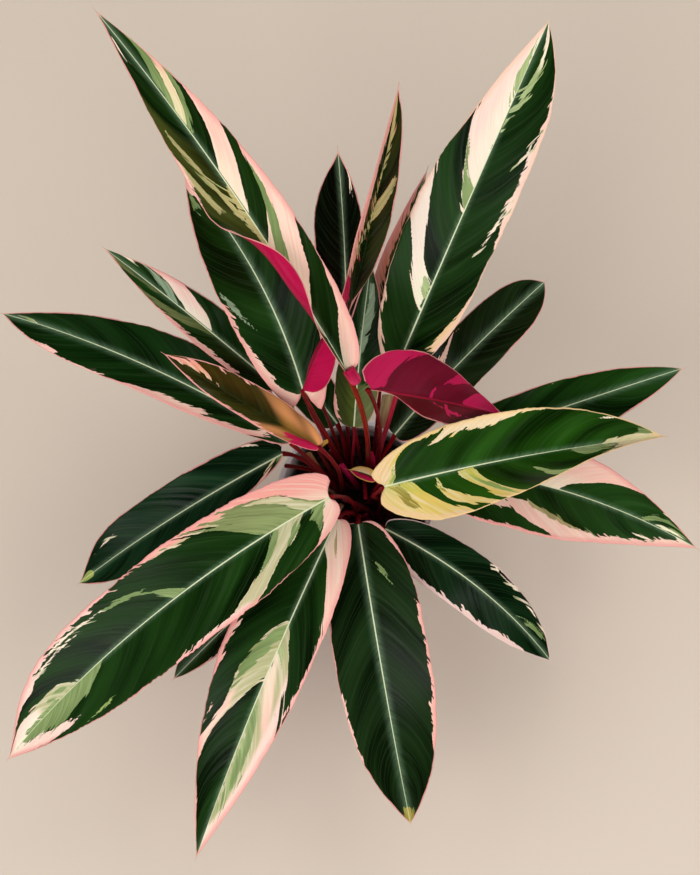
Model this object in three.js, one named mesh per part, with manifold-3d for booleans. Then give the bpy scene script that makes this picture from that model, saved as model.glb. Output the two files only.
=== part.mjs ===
// A stromanthe triostar in a white nursery pot.
// Millimetres, +Z up. The origin is the middle of the pot's underside.

import * as THREE from 'three';
import { mergeVertices } from 'three/addons/utils/BufferGeometryUtils.js';
import Module from 'manifold-3d';

const wasm = await Module();
wasm.setup();

// ---- driving dimensions ------------------------------------------------------------------

const CLEARANCE = 0.3;

const POT = {
  height: 118,
  footRadius: 45,
  collarHeight: 26,
  collarStep: 1.8,
  rimRadius: 65,
  rimWidth: 3.2,
  rimDepth: 3,
  wall: 1.5,
  floor: 2,
  facets: 48,
  drain: { count: 6, radius: 4, circle: 34, facets: 10 },
};

const SOIL = { level: 99, lump: 1.4, rings: 5, facets: 28 };

const STUMP = { radius: 7.5, topRadius: 5.5, bottom: 82, top: 106, facets: 10 };

const BLADE = {
  thickness: 0.8,
  rows: 14,
  columns: 3,
  smallRows: 7,
  smallColumns: 2,
  small: 50, // a blade shorter than this gets the small numbers of rows and columns
  crowding: 0.4, // how much closer together the rows lie near a blade's two ends
};

const PETIOLE = {
  footRadius: 2.4,
  radius: 1.7,
  jointRadius: 2.2,
  jointLength: 14,
  ring: 2.6,
  bottom: 92,
  steps: 9,
  facets: 6,
};

// Where the shoots come out of the soil, seen from above.
const SHOOTS = {
  north: [-5, 20],
  east_north: [11, 19],
  west: [-9, 3],
  east: [17, 1],
  south: [4, -13],
};

// Each outline: where along the blade it is widest, how full the base is, and how full and how
// blunt the tip is.
const OUTLINES = {
  broad: { widest: 0.48, base: 0.28, full: 4.0, blunt: 1.4 },
  ovate: { widest: 0.44, base: 0.5, full: 2.4, blunt: 1.0 },
  lance: { widest: 0.4, base: 0.45, full: 1.7, blunt: 1.05 },
  blunt: { widest: 0.5, base: 0.4, full: 5.0, blunt: 0.8 },
  full: { widest: 0.45, base: 0.35, full: 4.5, blunt: 1.1 },
  round: { widest: 0.4, base: 0.36, full: 1.7, blunt: 1.05 },
  paddle: { widest: 0.62, base: 0.8, full: 2.6, blunt: 1.0 },
  heart: { widest: 0.28, base: 0.42, full: 1.5, blunt: 1.0 },
  late: { widest: 0.56, base: 4.0, full: 3.0, blunt: 1.0 },
};

// What a leaf has unless its own line says otherwise. Pairs are [left, right] of the midrib,
// seen from the petiole towards the tip, or [base, tip]. Angles are in degrees.
const COMMON = {
  lift: 10,
  bow: 0,
  outline: ['ovate', 'ovate'],
  roll: [0, 0],
  foldLeft: [10, 10],
  foldRight: [10, 10],
  curl: [0, 0],
  turn: [0, 1],
  tuck: [-1, 0],
  stand: [0, 0],
  heel: [4, 4],
  ripple: 1.2,
  waves: 2.5,
  knee: false,
  gap: 0.75,
  setback: 0,
  reach: 0.55,
  sway: [0, 0],
};

const LEAVES = {
  blade_01: {
    shoot: 'east_north', base: [11, 49, 325], tip: [-160, 296, 400], half: [25, 27],
    outline: ['lance', 'round'], lift: 6, bow: -6, foldLeft: [22, 4], foldRight: [8, 8],
    curl: [178, 0], turn: [0.25, 0.5], tuck: [0.1, 0.26], stand: [58, 0], heel: [1, 2],
    thick: 1.2,
  },
  blade_02: {
    shoot: 'north', base: [-28, 55, 250], tip: [-109, 204, 318], half: [33, 28],
    outline: ['ovate', 'lance'], lift: 12, bow: -10, heel: [15, 22], gap: 1.7,
  },
  blade_03: {
    shoot: 'west', base: [-53, 66, 232], tip: [-180, 168, 262], half: [15, 19],
    outline: ['lance', 'lance'], heel: [6, 6],
  },
  blade_04: {
    shoot: 'west', base: [-43, 27, 200], tip: [-271, 133, 215], half: [22, 31],
    outline: ['paddle', 'lance'], lift: 18, bow: -6, heel: [6, 6],
  },
  blade_05: {
    shoot: 'west', base: [-18, 15, 240], tip: [-124, 72, 300], half: [11, 17],
    lift: -6, foldLeft: [20, 20], foldRight: [20, 20],
  },
  blade_06: {
    shoot: 'west', base: [-51, 22, 185], tip: [-220, -71, 140], half: [22, 25],
    outline: ['paddle', 'broad'], lift: 16,
  },
  blade_07: {
    shoot: 'south', base: [-11, -19, 215], tip: [-269, -210, 150], half: [43, 38],
    outline: ['ovate', 'broad'], lift: 24, bow: -10, heel: [8, 8],
  },
  blade_08: {
    shoot: 'south', base: [-42, -56, 148], tip: [-146, -146, 117], half: [15, 20], lift: 8,
  },
  blade_09: {
    shoot: 'south', base: [-8, -30, 185], tip: [-126, -285, 110], half: [30, 41],
    outline: ['lance', 'lance'], lift: 24,
  },
  blade_10: {
    shoot: 'south', base: [7, -32, 172], tip: [42, -259, 95], half: [39, 35], lift: 28,
  },
  blade_11: {
    shoot: 'south', base: [27, -34, 160], tip: [155, -133, 105], half: [22, 25], lift: 16, bow: 8,
  },
  blade_12: {
    shoot: 'east', base: [67, 10, 180], tip: [267, -54, 165], half: [33, 41],
    outline: ['lance', 'lance'], lift: 12, bow: 10, heel: [8, 8],
  },
  blade_13: {
    shoot: 'east', base: [31, -15, 230], tip: [237, 15, 250], half: [35, 40],
    lift: 18, foldLeft: [8, 8], foldRight: [8, 72], heel: [14, 8], gap: 1.4,
  },
  blade_14: {
    shoot: 'east', base: [64, 16, 200], tip: [256, 73, 225], half: [21, 27], lift: 14, bow: -2,
  },
  blade_15: {
    shoot: 'east_north', base: [26, 42, 300], tip: [122, 38, 226], half: [22, 33],
    outline: ['late', 'heart'], lift: 8, roll: [205, 190], foldLeft: [52, 42],
    foldRight: [10, 20], heel: [4, 10], knee: true, gap: 1.6, setback: 1.7, sway: [12, 4],
  },
  blade_16: {
    shoot: 'east_north', base: [49, 80, 268], tip: [157, 275, 400], half: [35, 33],
    outline: ['lance', 'full'], lift: 14, bow: -2, heel: [20, 6], thick: 1.2, reach: 0.5,
    gap: 1.7, sway: [4, 0],
  },
  blade_17: {
    shoot: 'east_north', base: [35.5, 40, 166], tip: [154, 142, 230], half: [22, 22],
    outline: ['blunt', 'blunt'], lift: 14, heel: [1, 1],
  },
  blade_18: {
    shoot: 'north', base: [1, 98, 215], tip: [7, 206, 350], half: [22, 15],
    outline: ['broad', 'broad'], lift: 8, bow: -3, thick: 0.75,
  },
  blade_19: {
    shoot: 'north', base: [4, 103, 256], tip: [55, 215, 432], half: [14, 15],
    outline: ['lance', 'late'], lift: 8, bow: -4, foldLeft: [70, 70], foldRight: [10, 20],
    thick: 0.75,
  },
  blade_20: {
    shoot: 'east_north', base: [27, 100, 222], tip: [69, 199, 322], half: [15, 14],
    outline: ['lance', 'lance'], lift: 8, foldLeft: [25, 25], foldRight: [25, 25],
    sway: [5, 0],
  },
  blade_21: {
    shoot: 'north', base: [6, 39, 200], tip: [26, 141, 290], half: [17, 18],
    outline: ['heart', 'ovate'], lift: 8, heel: [1, 1], thick: 0.75,
  },
  blade_22: {
    shoot: 'north', base: [-25, 48, 282], tip: [3, 101, 300], half: [16, 13],
    outline: ['heart', 'late'], lift: 4, roll: [180, 180], foldLeft: [20, 20],
    foldRight: [55, 75], heel: [1, 1], knee: true, setback: 0.9, thick: 0.7,
  },
  blade_23: {
    shoot: 'north', base: [-11, 52, 158], tip: [-67, 119, 198], half: [18, 18], heel: [1, 1],
  },
  blade_24: {
    shoot: 'east_north', base: [19, 8, 150], tip: [-1, 14, 158], half: [5, 6],
    lift: 3, heel: [1, 1], ripple: 0.3,
  },
};

// Dry, papery remains of old leaf sheaths that lean out from the foot of the shoots.
const DRY = { half: [3.5, 3], lift: 3, foldLeft: [35, 35], foldRight: [35, 35], ripple: 0.4, heel: [0, 0] };

const SHEATHS = {
  sheath_1: { ...DRY, base: [-16.7, 5.8, 104], tip: [-34, 18, 121] },
  sheath_2: { ...DRY, base: [-9.1, 26.5, 104], tip: [-18, 42, 126] },
  sheath_3: { ...DRY, base: [-11.7, -3.4, 104], tip: [-19, -17, 109] },
};

const COLOURS = {
  green: { color: 0x1f4a2c, roughness: 0.4 },
  magenta: { color: 0x9c1540, roughness: 0.45 },
  petiole: { color: 0x7a1424, roughness: 0.4 },
  dry: { color: 0xc69f78, roughness: 0.8 },
  soil: { color: 0x35241b, roughness: 0.95 },
  pot: { color: 0xeeecea, roughness: 0.35 },
};

// ---- solids and meshes -------------------------------------------------------------------

function material(colour) {
  return new THREE.MeshStandardMaterial({ ...COLOURS[colour], metalness: 0 });
}

function positionsOnly(geometry) {
  const copy = geometry.clone();
  copy.deleteAttribute('normal');
  copy.deleteAttribute('uv');
  return mergeVertices(copy, 1e-4);
}

function toSolid(geometry) {
  const merged = positionsOnly(geometry);
  const vertProperties = new Float32Array(merged.attributes.position.array);
  const triVerts = new Uint32Array(merged.index.array);
  return new wasm.Manifold(new wasm.Mesh({ numProp: 3, vertProperties, triVerts }));
}

function toGeometry(solid) {
  const mesh = solid.getMesh();
  const geometry = new THREE.BufferGeometry();
  geometry.setAttribute('position', new THREE.BufferAttribute(mesh.vertProperties, 3));
  geometry.setIndex(new THREE.BufferAttribute(mesh.triVerts, 1));
  geometry.computeVertexNormals();
  return geometry;
}

function indexedGeometry(points, triangles) {
  const geometry = new THREE.BufferGeometry();
  geometry.setAttribute('position', new THREE.Float32BufferAttribute(points.flat(), 3));
  geometry.setIndex(triangles.flat());
  geometry.computeVertexNormals();
  return geometry;
}

function uprightLathe(profile, facets) {
  const points = profile.map(([radius, height]) => new THREE.Vector2(radius, height));
  return new THREE.LatheGeometry(points, facets).rotateX(Math.PI / 2);
}

// ---- blade surface -----------------------------------------------------------------------

const radians = THREE.MathUtils.degToRad;

function smooth(x) {
  const u = THREE.MathUtils.clamp(x, 0, 1);
  return u * u * (3 - 2 * u);
}

// Half width at t along the blade, as a share of the widest.
function widthShare(t, { widest, base, full, blunt }) {
  if (t < widest) {
    return (1 - (1 - t / widest) ** 3) ** base;
  }
  const beyond = Math.min((t - widest) / (1 - widest), 1);
  return (1 - beyond ** full) ** blunt;
}

// The midrib at t: a straight chord, lifted to an arch and bowed sideways.
function midribPoint(leaf, t) {
  const base = new THREE.Vector3(...leaf.base);
  const chord = new THREE.Vector3(...leaf.tip).sub(base);
  const level = new THREE.Vector3(-chord.y, chord.x, 0).normalize();
  const up = new THREE.Vector3().crossVectors(chord, level).normalize();
  const arch = 4 * t * (1 - t);
  return base.addScaledVector(chord, t)
    .addScaledVector(up, leaf.lift * arch)
    .addScaledVector(level, leaf.bow * arch);
}

// Along, left and upward directions at t, turned about the midrib by the leaf's roll.
function bladeFrame(leaf, t) {
  const step = 1e-3;
  const along = midribPoint(leaf, t + step).sub(midribPoint(leaf, t - step)).normalize();
  const level = new THREE.Vector3(-along.y, along.x, 0).normalize();
  const upward = new THREE.Vector3().crossVectors(along, level);
  const turn = radians(leaf.roll[0] + (leaf.roll[1] - leaf.roll[0]) * smooth(t));
  const left = level.clone().multiplyScalar(Math.cos(turn)).addScaledVector(upward, Math.sin(turn));
  upward.multiplyScalar(Math.cos(turn)).addScaledVector(level, -Math.sin(turn));
  return { along, left, upward };
}

// How far out and up a point lies that is s of the way to the margin, for a half blade that
// leaves the midrib at an angle of fold and curls by curl on its way out.
function crossSection(s, fold, curl) {
  if (Math.abs(curl) < 1e-4) {
    return [s * Math.cos(fold), s * Math.sin(fold)];
  }
  return [
    (Math.sin(fold + curl * s) - Math.sin(fold)) / curl,
    (Math.cos(fold) - Math.cos(fold + curl * s)) / curl,
  ];
}

// A point of the blade's middle surface, with across from -1 (right margin) to 1 (left margin).
// Towards the base the curl fades out over the tuck, and the half stands up by its stand instead.
function bladePoint(leaf, t, across) {
  const side = across >= 0 ? 0 : 1;
  const s = Math.abs(across);
  const { along, left, upward } = bladeFrame(leaf, t);
  const [start, end] = leaf.turn;
  const opened = smooth((t - start) / (end - start));
  const [near, far] = leaf.tuck;
  const tucked = smooth((t - near) / (far - near));
  const folds = [leaf.foldLeft, leaf.foldRight][side];
  const standing = leaf.stand[side] * (1 - tucked);
  const fold = radians(folds[0] + (folds[1] - folds[0]) * opened + standing);
  const curl = radians(leaf.curl[side] * (1 - opened) * tucked);
  const width = leaf.half[side] * widthShare(t, OUTLINES[leaf.outline[side]]);
  const [out, rise] = crossSection(s, fold, curl);
  const share = width / leaf.half[side];
  const wave = leaf.ripple * share * s * s * Math.sin(2 * Math.PI * (leaf.waves * t + side / 3));
  const heel = leaf.heel[side] * s * s * Math.max(0, 1 - t / 0.22) ** 2;
  return midribPoint(leaf, t)
    .addScaledVector(left, (side === 0 ? 1 : -1) * width * out)
    .addScaledVector(upward, width * rise + wave)
    .addScaledVector(along, -heel * Math.min(1, share * 3));
}

function bladeGeometry(leaf) {
  const { thickness, small } = BLADE;
  const length = new THREE.Vector3(...leaf.base).distanceTo(new THREE.Vector3(...leaf.tip));
  const rows = length < small ? BLADE.smallRows : BLADE.rows;
  const columns = length < small ? BLADE.smallColumns : BLADE.columns;
  const count = 2 * columns + 1;
  const stations = Array.from({ length: rows + 1 }, (_, i) => {
    const x = i / rows;
    return x + BLADE.crowding * (1 - 2 * x - Math.cos(Math.PI * x));
  });
  const points = [];
  const index = [[], []];
  for (const t of stations) {
    const atEnd = t < 1e-9 || t > 1 - 1e-9;
    const row = [[], []];
    for (let j = 0; j < (atEnd ? 1 : count); j += 1) {
      const across = atEnd ? 0 : 1 - j / columns;
      const inner = THREE.MathUtils.clamp(t, 0.02, 0.98);
      const centre = bladePoint(leaf, t, across);
      const along = bladePoint(leaf, inner + 0.02, across).sub(bladePoint(leaf, inner - 0.02, across));
      const low = Math.max(across - 0.1, -1);
      const high = Math.min(across + 0.1, 1);
      const sideways = bladePoint(leaf, inner, high).sub(bladePoint(leaf, inner, low));
      const normal = new THREE.Vector3().crossVectors(along, sideways).normalize();
      for (const face of [0, 1]) {
        const offset = (face === 0 ? 0.5 : -0.5) * thickness;
        row[face].push(points.length);
        points.push(centre.clone().addScaledVector(normal, offset).toArray());
      }
    }
    index[0].push(row[0]);
    index[1].push(row[1]);
  }
  return indexedGeometry(points, bladeTriangles(index[0], index[1]));
}

// The triangles of both faces, split alike, and of the strip around the margin.
function bladeTriangles(top, bottom) {
  const triangles = [];
  const addBoth = (pick) => {
    triangles.push(pick(top));
    triangles.push(pick(bottom).reverse());
  };
  const last = top.length - 1;
  const across = top[1].length;
  for (let j = 0; j < across - 1; j += 1) {
    addBoth((face) => [face[0][0], face[1][j + 1], face[1][j]]);
    addBoth((face) => [face[last][0], face[last - 1][j], face[last - 1][j + 1]]);
    for (let i = 1; i < last - 1; i += 1) {
      addBoth((face) => [face[i][j], face[i][j + 1], face[i + 1][j + 1]]);
      addBoth((face) => [face[i][j], face[i + 1][j + 1], face[i + 1][j]]);
    }
  }
  for (let i = 0; i < last; i += 1) {
    for (const [j, turned] of [[0, false], [across - 1, true]]) {
      const near = Math.min(j, top[i].length - 1);
      const far = Math.min(j, top[i + 1].length - 1);
      const strip = [
        [top[i][near], top[i + 1][far], bottom[i + 1][far]],
        [top[i][near], bottom[i + 1][far], bottom[i][near]],
      ];
      triangles.push(...strip.map((tri) => (turned ? tri.reverse() : tri)));
    }
  }
  return triangles;
}

// ---- petioles and shoots -----------------------------------------------------------------

function petioleCurve(leaf) {
  const [x, y] = SHOOTS[leaf.shoot];
  const base = new THREE.Vector3(...leaf.base);
  const outward = new THREE.Vector3(base.x - x, base.y - y, 0);
  const foot = new THREE.Vector3(x, y, PETIOLE.bottom);
  foot.addScaledVector(outward.clone().normalize(), PETIOLE.ring);
  const rise = base.z - foot.z;
  const arrival = new THREE.Vector3(0, 0, 1);
  if (leaf.knee) {
    arrival.copy(base).sub(foot).normalize();
  } else {
    arrival.addScaledVector(bladeFrame(leaf, 0).along, leaf.reach).normalize();
  }
  const end = base.clone().addScaledVector(arrival, -leaf.gap);
  end.addScaledVector(bladeFrame(leaf, 0).along, -leaf.setback);
  const lower = foot.clone().addScaledVector(outward, 0.08);
  lower.z += 0.25 * rise + 22;
  const upper = end.clone().addScaledVector(arrival, -0.35 * rise);
  for (const handle of [lower, upper]) {
    handle.x += leaf.sway[0];
    handle.y += leaf.sway[1];
  }
  return new THREE.CubicBezierCurve3(foot, lower, upper, end);
}

// A tube that is thick where it sheathes the shoot, slim above, and thicker at its top joint.
function petioleGeometry(leaf) {
  const curve = petioleCurve(leaf);
  const length = curve.getLength();
  const { steps, facets } = PETIOLE;
  const frames = curve.computeFrenetFrames(steps, false);
  const thick = leaf.thick ?? 1;
  const points = [];
  const triangles = [];
  for (let i = 0; i <= steps; i += 1) {
    const u = i / steps;
    const fromTop = (1 - u) * length;
    const sheath = (PETIOLE.footRadius - PETIOLE.radius) * (1 - smooth(u * 2));
    const joint = (PETIOLE.jointRadius - PETIOLE.radius) * (1 - smooth(fromTop / PETIOLE.jointLength));
    const radius = thick * (PETIOLE.radius + sheath + joint);
    const centre = curve.getPointAt(u);
    for (let k = 0; k < facets; k += 1) {
      const angle = (2 * Math.PI * k) / facets;
      points.push(centre.clone()
        .addScaledVector(frames.normals[i], radius * Math.cos(angle))
        .addScaledVector(frames.binormals[i], radius * Math.sin(angle)).toArray());
    }
  }
  for (let i = 0; i < steps; i += 1) {
    for (let k = 0; k < facets; k += 1) {
      const next = (k + 1) % facets;
      const a = i * facets + k;
      const b = i * facets + next;
      triangles.push([a, b, b + facets], [a, b + facets, a + facets]);
    }
  }
  for (let k = 1; k < facets - 1; k += 1) {
    triangles.push([0, k + 1, k]);
    triangles.push([steps * facets, steps * facets + k, steps * facets + k + 1]);
  }
  return indexedGeometry(points, triangles);
}

function stumpProfile(extra) {
  const { radius, topRadius, bottom, top } = STUMP;
  return [
    [0, bottom - extra],
    [radius + extra, bottom - extra],
    [radius + extra, SOIL.level + 2],
    [topRadius + extra, top + extra],
    [0, top + extra],
  ];
}

function shootGeometry(name) {
  const [x, y] = SHOOTS[name];
  let shoot = toSolid(uprightLathe(stumpProfile(0), STUMP.facets).translate(x, y, 0));
  for (const leaf of Object.values(LEAVES)) {
    if (leaf.shoot === name) {
      shoot = shoot.add(toSolid(petioleGeometry({ ...COMMON, ...leaf })));
    }
  }
  return toGeometry(shoot);
}

// ---- pot and soil ------------------------------------------------------------------------

// Outer radius of the pot's tapered body at a height, below its collar.
function bodyRadius(z) {
  const { footRadius, rimRadius, rimWidth, collarStep, height } = POT;
  return footRadius + ((rimRadius - rimWidth - collarStep - footRadius) * z) / height;
}

function potGeometry() {
  const { height, collarHeight, collarStep, rimRadius, rimWidth, rimDepth, wall, floor } = POT;
  const step = height - collarHeight;
  const lip = height - rimDepth;
  const body = toSolid(uprightLathe([
    [0, 0],
    [bodyRadius(0), 0],
    [bodyRadius(step), step],
    [bodyRadius(step) + collarStep, step + 1],
    [bodyRadius(lip) + collarStep, lip],
    [rimRadius, lip],
    [rimRadius, height - 1],
    [rimRadius - 1, height],
    [bodyRadius(height) + collarStep - wall, height],
    [bodyRadius(step) + collarStep - wall, step + 1.5],
    [bodyRadius(step) - wall, step],
    [bodyRadius(floor) - wall, floor],
    [0, floor],
  ], POT.facets));
  const { count, radius, circle, facets } = POT.drain;
  let pot = body;
  for (let i = 0; i < count; i += 1) {
    const angle = (2 * Math.PI * (i + 0.5)) / count;
    const hole = new THREE.CylinderGeometry(radius, radius, 4 * floor, facets).rotateX(Math.PI / 2);
    hole.translate(circle * Math.cos(angle), circle * Math.sin(angle), floor / 2);
    pot = pot.subtract(toSolid(hole));
  }
  return toGeometry(pot);
}

// Height of the soil's crumbly top.
function soilHeight(x, y) {
  const waves = Math.sin(0.31 * x + 0.5) * Math.cos(0.27 * y) + 0.7 * Math.sin(0.53 * y - 0.41 * x);
  return SOIL.level + SOIL.lump * waves;
}

function soilGeometry() {
  const { rings, facets, level } = SOIL;
  const bottom = POT.floor + CLEARANCE;
  const inset = POT.wall + CLEARANCE;
  const flat = Math.cos(Math.PI / facets);
  const step = POT.height - POT.collarHeight - CLEARANCE;
  const topRadius = (bodyRadius(step) - inset) * flat;
  const points = [[0, 0, soilHeight(0, 0)]];
  const triangles = [];
  const ringAt = (radius, height) => {
    for (let k = 0; k < facets; k += 1) {
      const angle = (2 * Math.PI * k) / facets;
      const x = radius * Math.cos(angle);
      const y = radius * Math.sin(angle);
      points.push([x, y, height(x, y)]);
    }
  };
  for (let i = 1; i <= rings; i += 1) {
    ringAt((topRadius * i) / rings, soilHeight);
  }
  ringAt(topRadius, () => step);
  ringAt((bodyRadius(bottom) - inset) * flat, () => bottom);
  points.push([0, 0, bottom]);
  const centre = points.length - 1;
  for (let k = 0; k < facets; k += 1) {
    const next = (k + 1) % facets;
    triangles.push([0, 1 + k, 1 + next]);
    for (let i = 0; i <= rings; i += 1) {
      const a = 1 + i * facets;
      const b = a + facets;
      triangles.push([a + k, b + k, b + next], [a + k, b + next, a + next]);
    }
    const rim = 1 + (rings + 1) * facets;
    triangles.push([centre, rim + next, rim + k]);
  }
  let soil = toSolid(indexedGeometry(points, triangles));
  for (const [x, y] of Object.values(SHOOTS)) {
    const hole = uprightLathe([
      [0, STUMP.bottom - CLEARANCE],
      [STUMP.radius + CLEARANCE, STUMP.bottom - CLEARANCE],
      [STUMP.radius + CLEARANCE, level + 20],
      [0, level + 20],
    ], STUMP.facets);
    soil = soil.subtract(toSolid(hole.translate(x, y, 0)));
  }
  return toGeometry(soil);
}

// ---- assembly ----------------------------------------------------------------------------

const group = new THREE.Group();

function addPiece(name, geometry, colour) {
  const mesh = new THREE.Mesh(geometry, material(colour));
  mesh.name = name;
  group.add(mesh);
}

addPiece('pot', potGeometry(), 'pot');
addPiece('soil', soilGeometry(), 'soil');
for (const name of Object.keys(SHOOTS)) {
  addPiece(`shoot_${name}`, shootGeometry(name), 'petiole');
}
for (const [name, leaf] of Object.entries(LEAVES)) {
  const colour = Math.abs(leaf.roll?.[0] ?? 0) > 90 ? 'magenta' : 'green';
  addPiece(name, bladeGeometry({ ...COMMON, ...leaf }), colour);
}
for (const [name, sheath] of Object.entries(SHEATHS)) {
  addPiece(name, bladeGeometry({ ...COMMON, ...sheath }), 'dry');
}

export default group;
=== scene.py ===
"""Dresses a potted stromanthe triostar: leaves, stalks, sheaths, soil, pot, floor and light.

Lengths in the tables are millimetres. Every mesh is worked out in the row frame, in metres.
"""

import logging
import math
from dataclasses import dataclass
from enum import Enum

import bpy
import numpy as np
from mathutils import Matrix


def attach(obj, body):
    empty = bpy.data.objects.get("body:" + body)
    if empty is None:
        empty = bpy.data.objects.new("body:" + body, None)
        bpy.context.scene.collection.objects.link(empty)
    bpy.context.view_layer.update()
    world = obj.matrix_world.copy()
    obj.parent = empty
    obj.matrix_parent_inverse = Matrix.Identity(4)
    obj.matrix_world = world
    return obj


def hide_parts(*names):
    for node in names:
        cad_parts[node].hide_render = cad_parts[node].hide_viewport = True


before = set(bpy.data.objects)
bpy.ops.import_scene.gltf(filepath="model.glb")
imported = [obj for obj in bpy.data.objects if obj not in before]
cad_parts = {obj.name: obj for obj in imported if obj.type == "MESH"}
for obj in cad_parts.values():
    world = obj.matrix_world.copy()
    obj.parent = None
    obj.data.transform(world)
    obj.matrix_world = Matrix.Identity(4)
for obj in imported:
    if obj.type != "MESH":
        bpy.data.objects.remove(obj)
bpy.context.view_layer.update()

log = logging.getLogger("stromanthe")

MM = 0.001
Array = np.ndarray
Material = bpy.types.Material
Object = bpy.types.Object
Pair = tuple[float, float]
Point = tuple[float, float, float]


# ---- small helpers ----


def linear(colour: str) -> tuple[float, float, float]:
    """Turns an sRGB hex colour into linear red, green and blue.

    Args:
        colour: Six hex digits after a hash.

    Returns:
        The three linear channels: a channel under 0.04045 is divided by 12.92, any other is
        shifted by 0.055, divided by 1.055 and raised to 2.4.
    """
    channels = [int(colour[i : i + 2], 16) / 255 for i in (1, 3, 5)]
    return tuple(c / 12.92 if c <= 0.04045 else ((c + 0.055) / 1.055) ** 2.4 for c in channels)


def rgba(colour: str) -> tuple[float, float, float, float]:
    """Turns an sRGB hex colour into linear channels with full alpha."""
    return (*linear(colour), 1.0)


def smooth(x: Array | float) -> Array:
    """Eases from 0 to 1 as x goes from 0 to 1: three x squared less two x cubed."""
    u = np.clip(x, 0.0, 1.0)
    return u * u * (3.0 - 2.0 * u)


def unit(vectors: Array) -> Array:
    """Divides vectors by their lengths, along the last axis."""
    return vectors / np.linalg.norm(vectors, axis=-1, keepdims=True)


def add_node(
    tree: bpy.types.NodeTree,
    kind: str,
    settings: dict[str, object] | None = None,
    inputs: dict[str | int, object] | None = None,
) -> bpy.types.Node:
    """Adds one shader node.

    Args:
        tree: The material's node tree.
        kind: The node's type, without its ShaderNode prefix.
        settings: Values for the node's own properties.
        inputs: A value for each named socket, or the output socket that it is linked to.

    Returns:
        The new node.
    """
    node = tree.nodes.new("ShaderNode" + kind)
    for name, value in (settings or {}).items():
        setattr(node, name, value)
    for name, value in (inputs or {}).items():
        if isinstance(value, bpy.types.NodeSocket):
            tree.links.new(value, node.inputs[name])
        else:
            node.inputs[name].default_value = value
    return node


def grid_quads(index: Array) -> Array:
    """Quads of a grid of vertex numbers.

    Args:
        index: Vertex numbers by row and column.

    Returns:
        One quad a cell, which turns from a column to the next before it turns to the next row.
    """
    corners = (index[:-1, :-1], index[:-1, 1:], index[1:, 1:], index[1:, :-1])
    return np.stack(corners, axis=-1).reshape(-1, 4)


def ring_quads(rows: int, columns: int, first: int = 0) -> Array:
    """Quads of a grid of vertices from the first number on, whose last column joins its first."""
    index = first + np.arange(rows * columns).reshape(rows, columns)
    return grid_quads(np.concatenate([index, index[:, :1]], axis=1))


def capped_faces(rows: int, columns: int) -> list[list[int]]:
    """Faces of a closed tube: the quads of its rings, and a cap at each end."""
    ends = np.arange(columns)[::-1], np.arange(columns) + (rows - 1) * columns
    return [*ring_quads(rows, columns).tolist(), *(end.tolist() for end in ends)]


@dataclass
class Piece:
    """One finished mesh with its attributes, and the CAD node that it stands for."""

    name: str
    node: str
    slot: str
    vertices: Array
    faces: Array
    materials: list[Material]
    face_materials: Array | None = None
    vectors: dict[str, Array] | None = None
    colours: dict[str, Array] | None = None

    def build(self) -> Object:
        """Puts the arrays into a mesh, and ties the object to the frame.

        Returns:
            The new object, which sits at the origin.
        """
        mesh = bpy.data.meshes.new(self.name)
        mesh.from_pydata(self.vertices * MM, [], self.faces)
        for material in self.materials:
            mesh.materials.append(material)
        if self.face_materials is not None:
            mesh.polygons.foreach_set("material_index", self.face_materials.astype(np.int32))
        for name, values in (self.vectors or {}).items():
            layer = mesh.attributes.new(name, "FLOAT_VECTOR", "POINT")
            layer.data.foreach_set("vector", values.astype(np.float32).ravel())
        for name, values in (self.colours or {}).items():
            layer = mesh.attributes.new(name, "FLOAT_COLOR", "POINT")
            full = np.concatenate([values, np.ones((len(values), 1))], axis=1)
            layer.data.foreach_set("color", full.astype(np.float32).ravel())
        mesh.shade_smooth()
        mesh.update()
        piece = bpy.data.objects.new(self.name, mesh)
        bpy.context.collection.objects.link(piece)
        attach(piece, "root")
        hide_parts(self.node)
        log.info("%s: %d faces, stands for %s", self.name, len(self.faces), self.node)
        return piece


# ---- the plant's colours and markings ----


class Layer(Enum):
    """Which coat of a leaf's colour a sector belongs to."""

    GROUND = "ground"
    WASH = "wash"
    STREAK = "streak"


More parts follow.
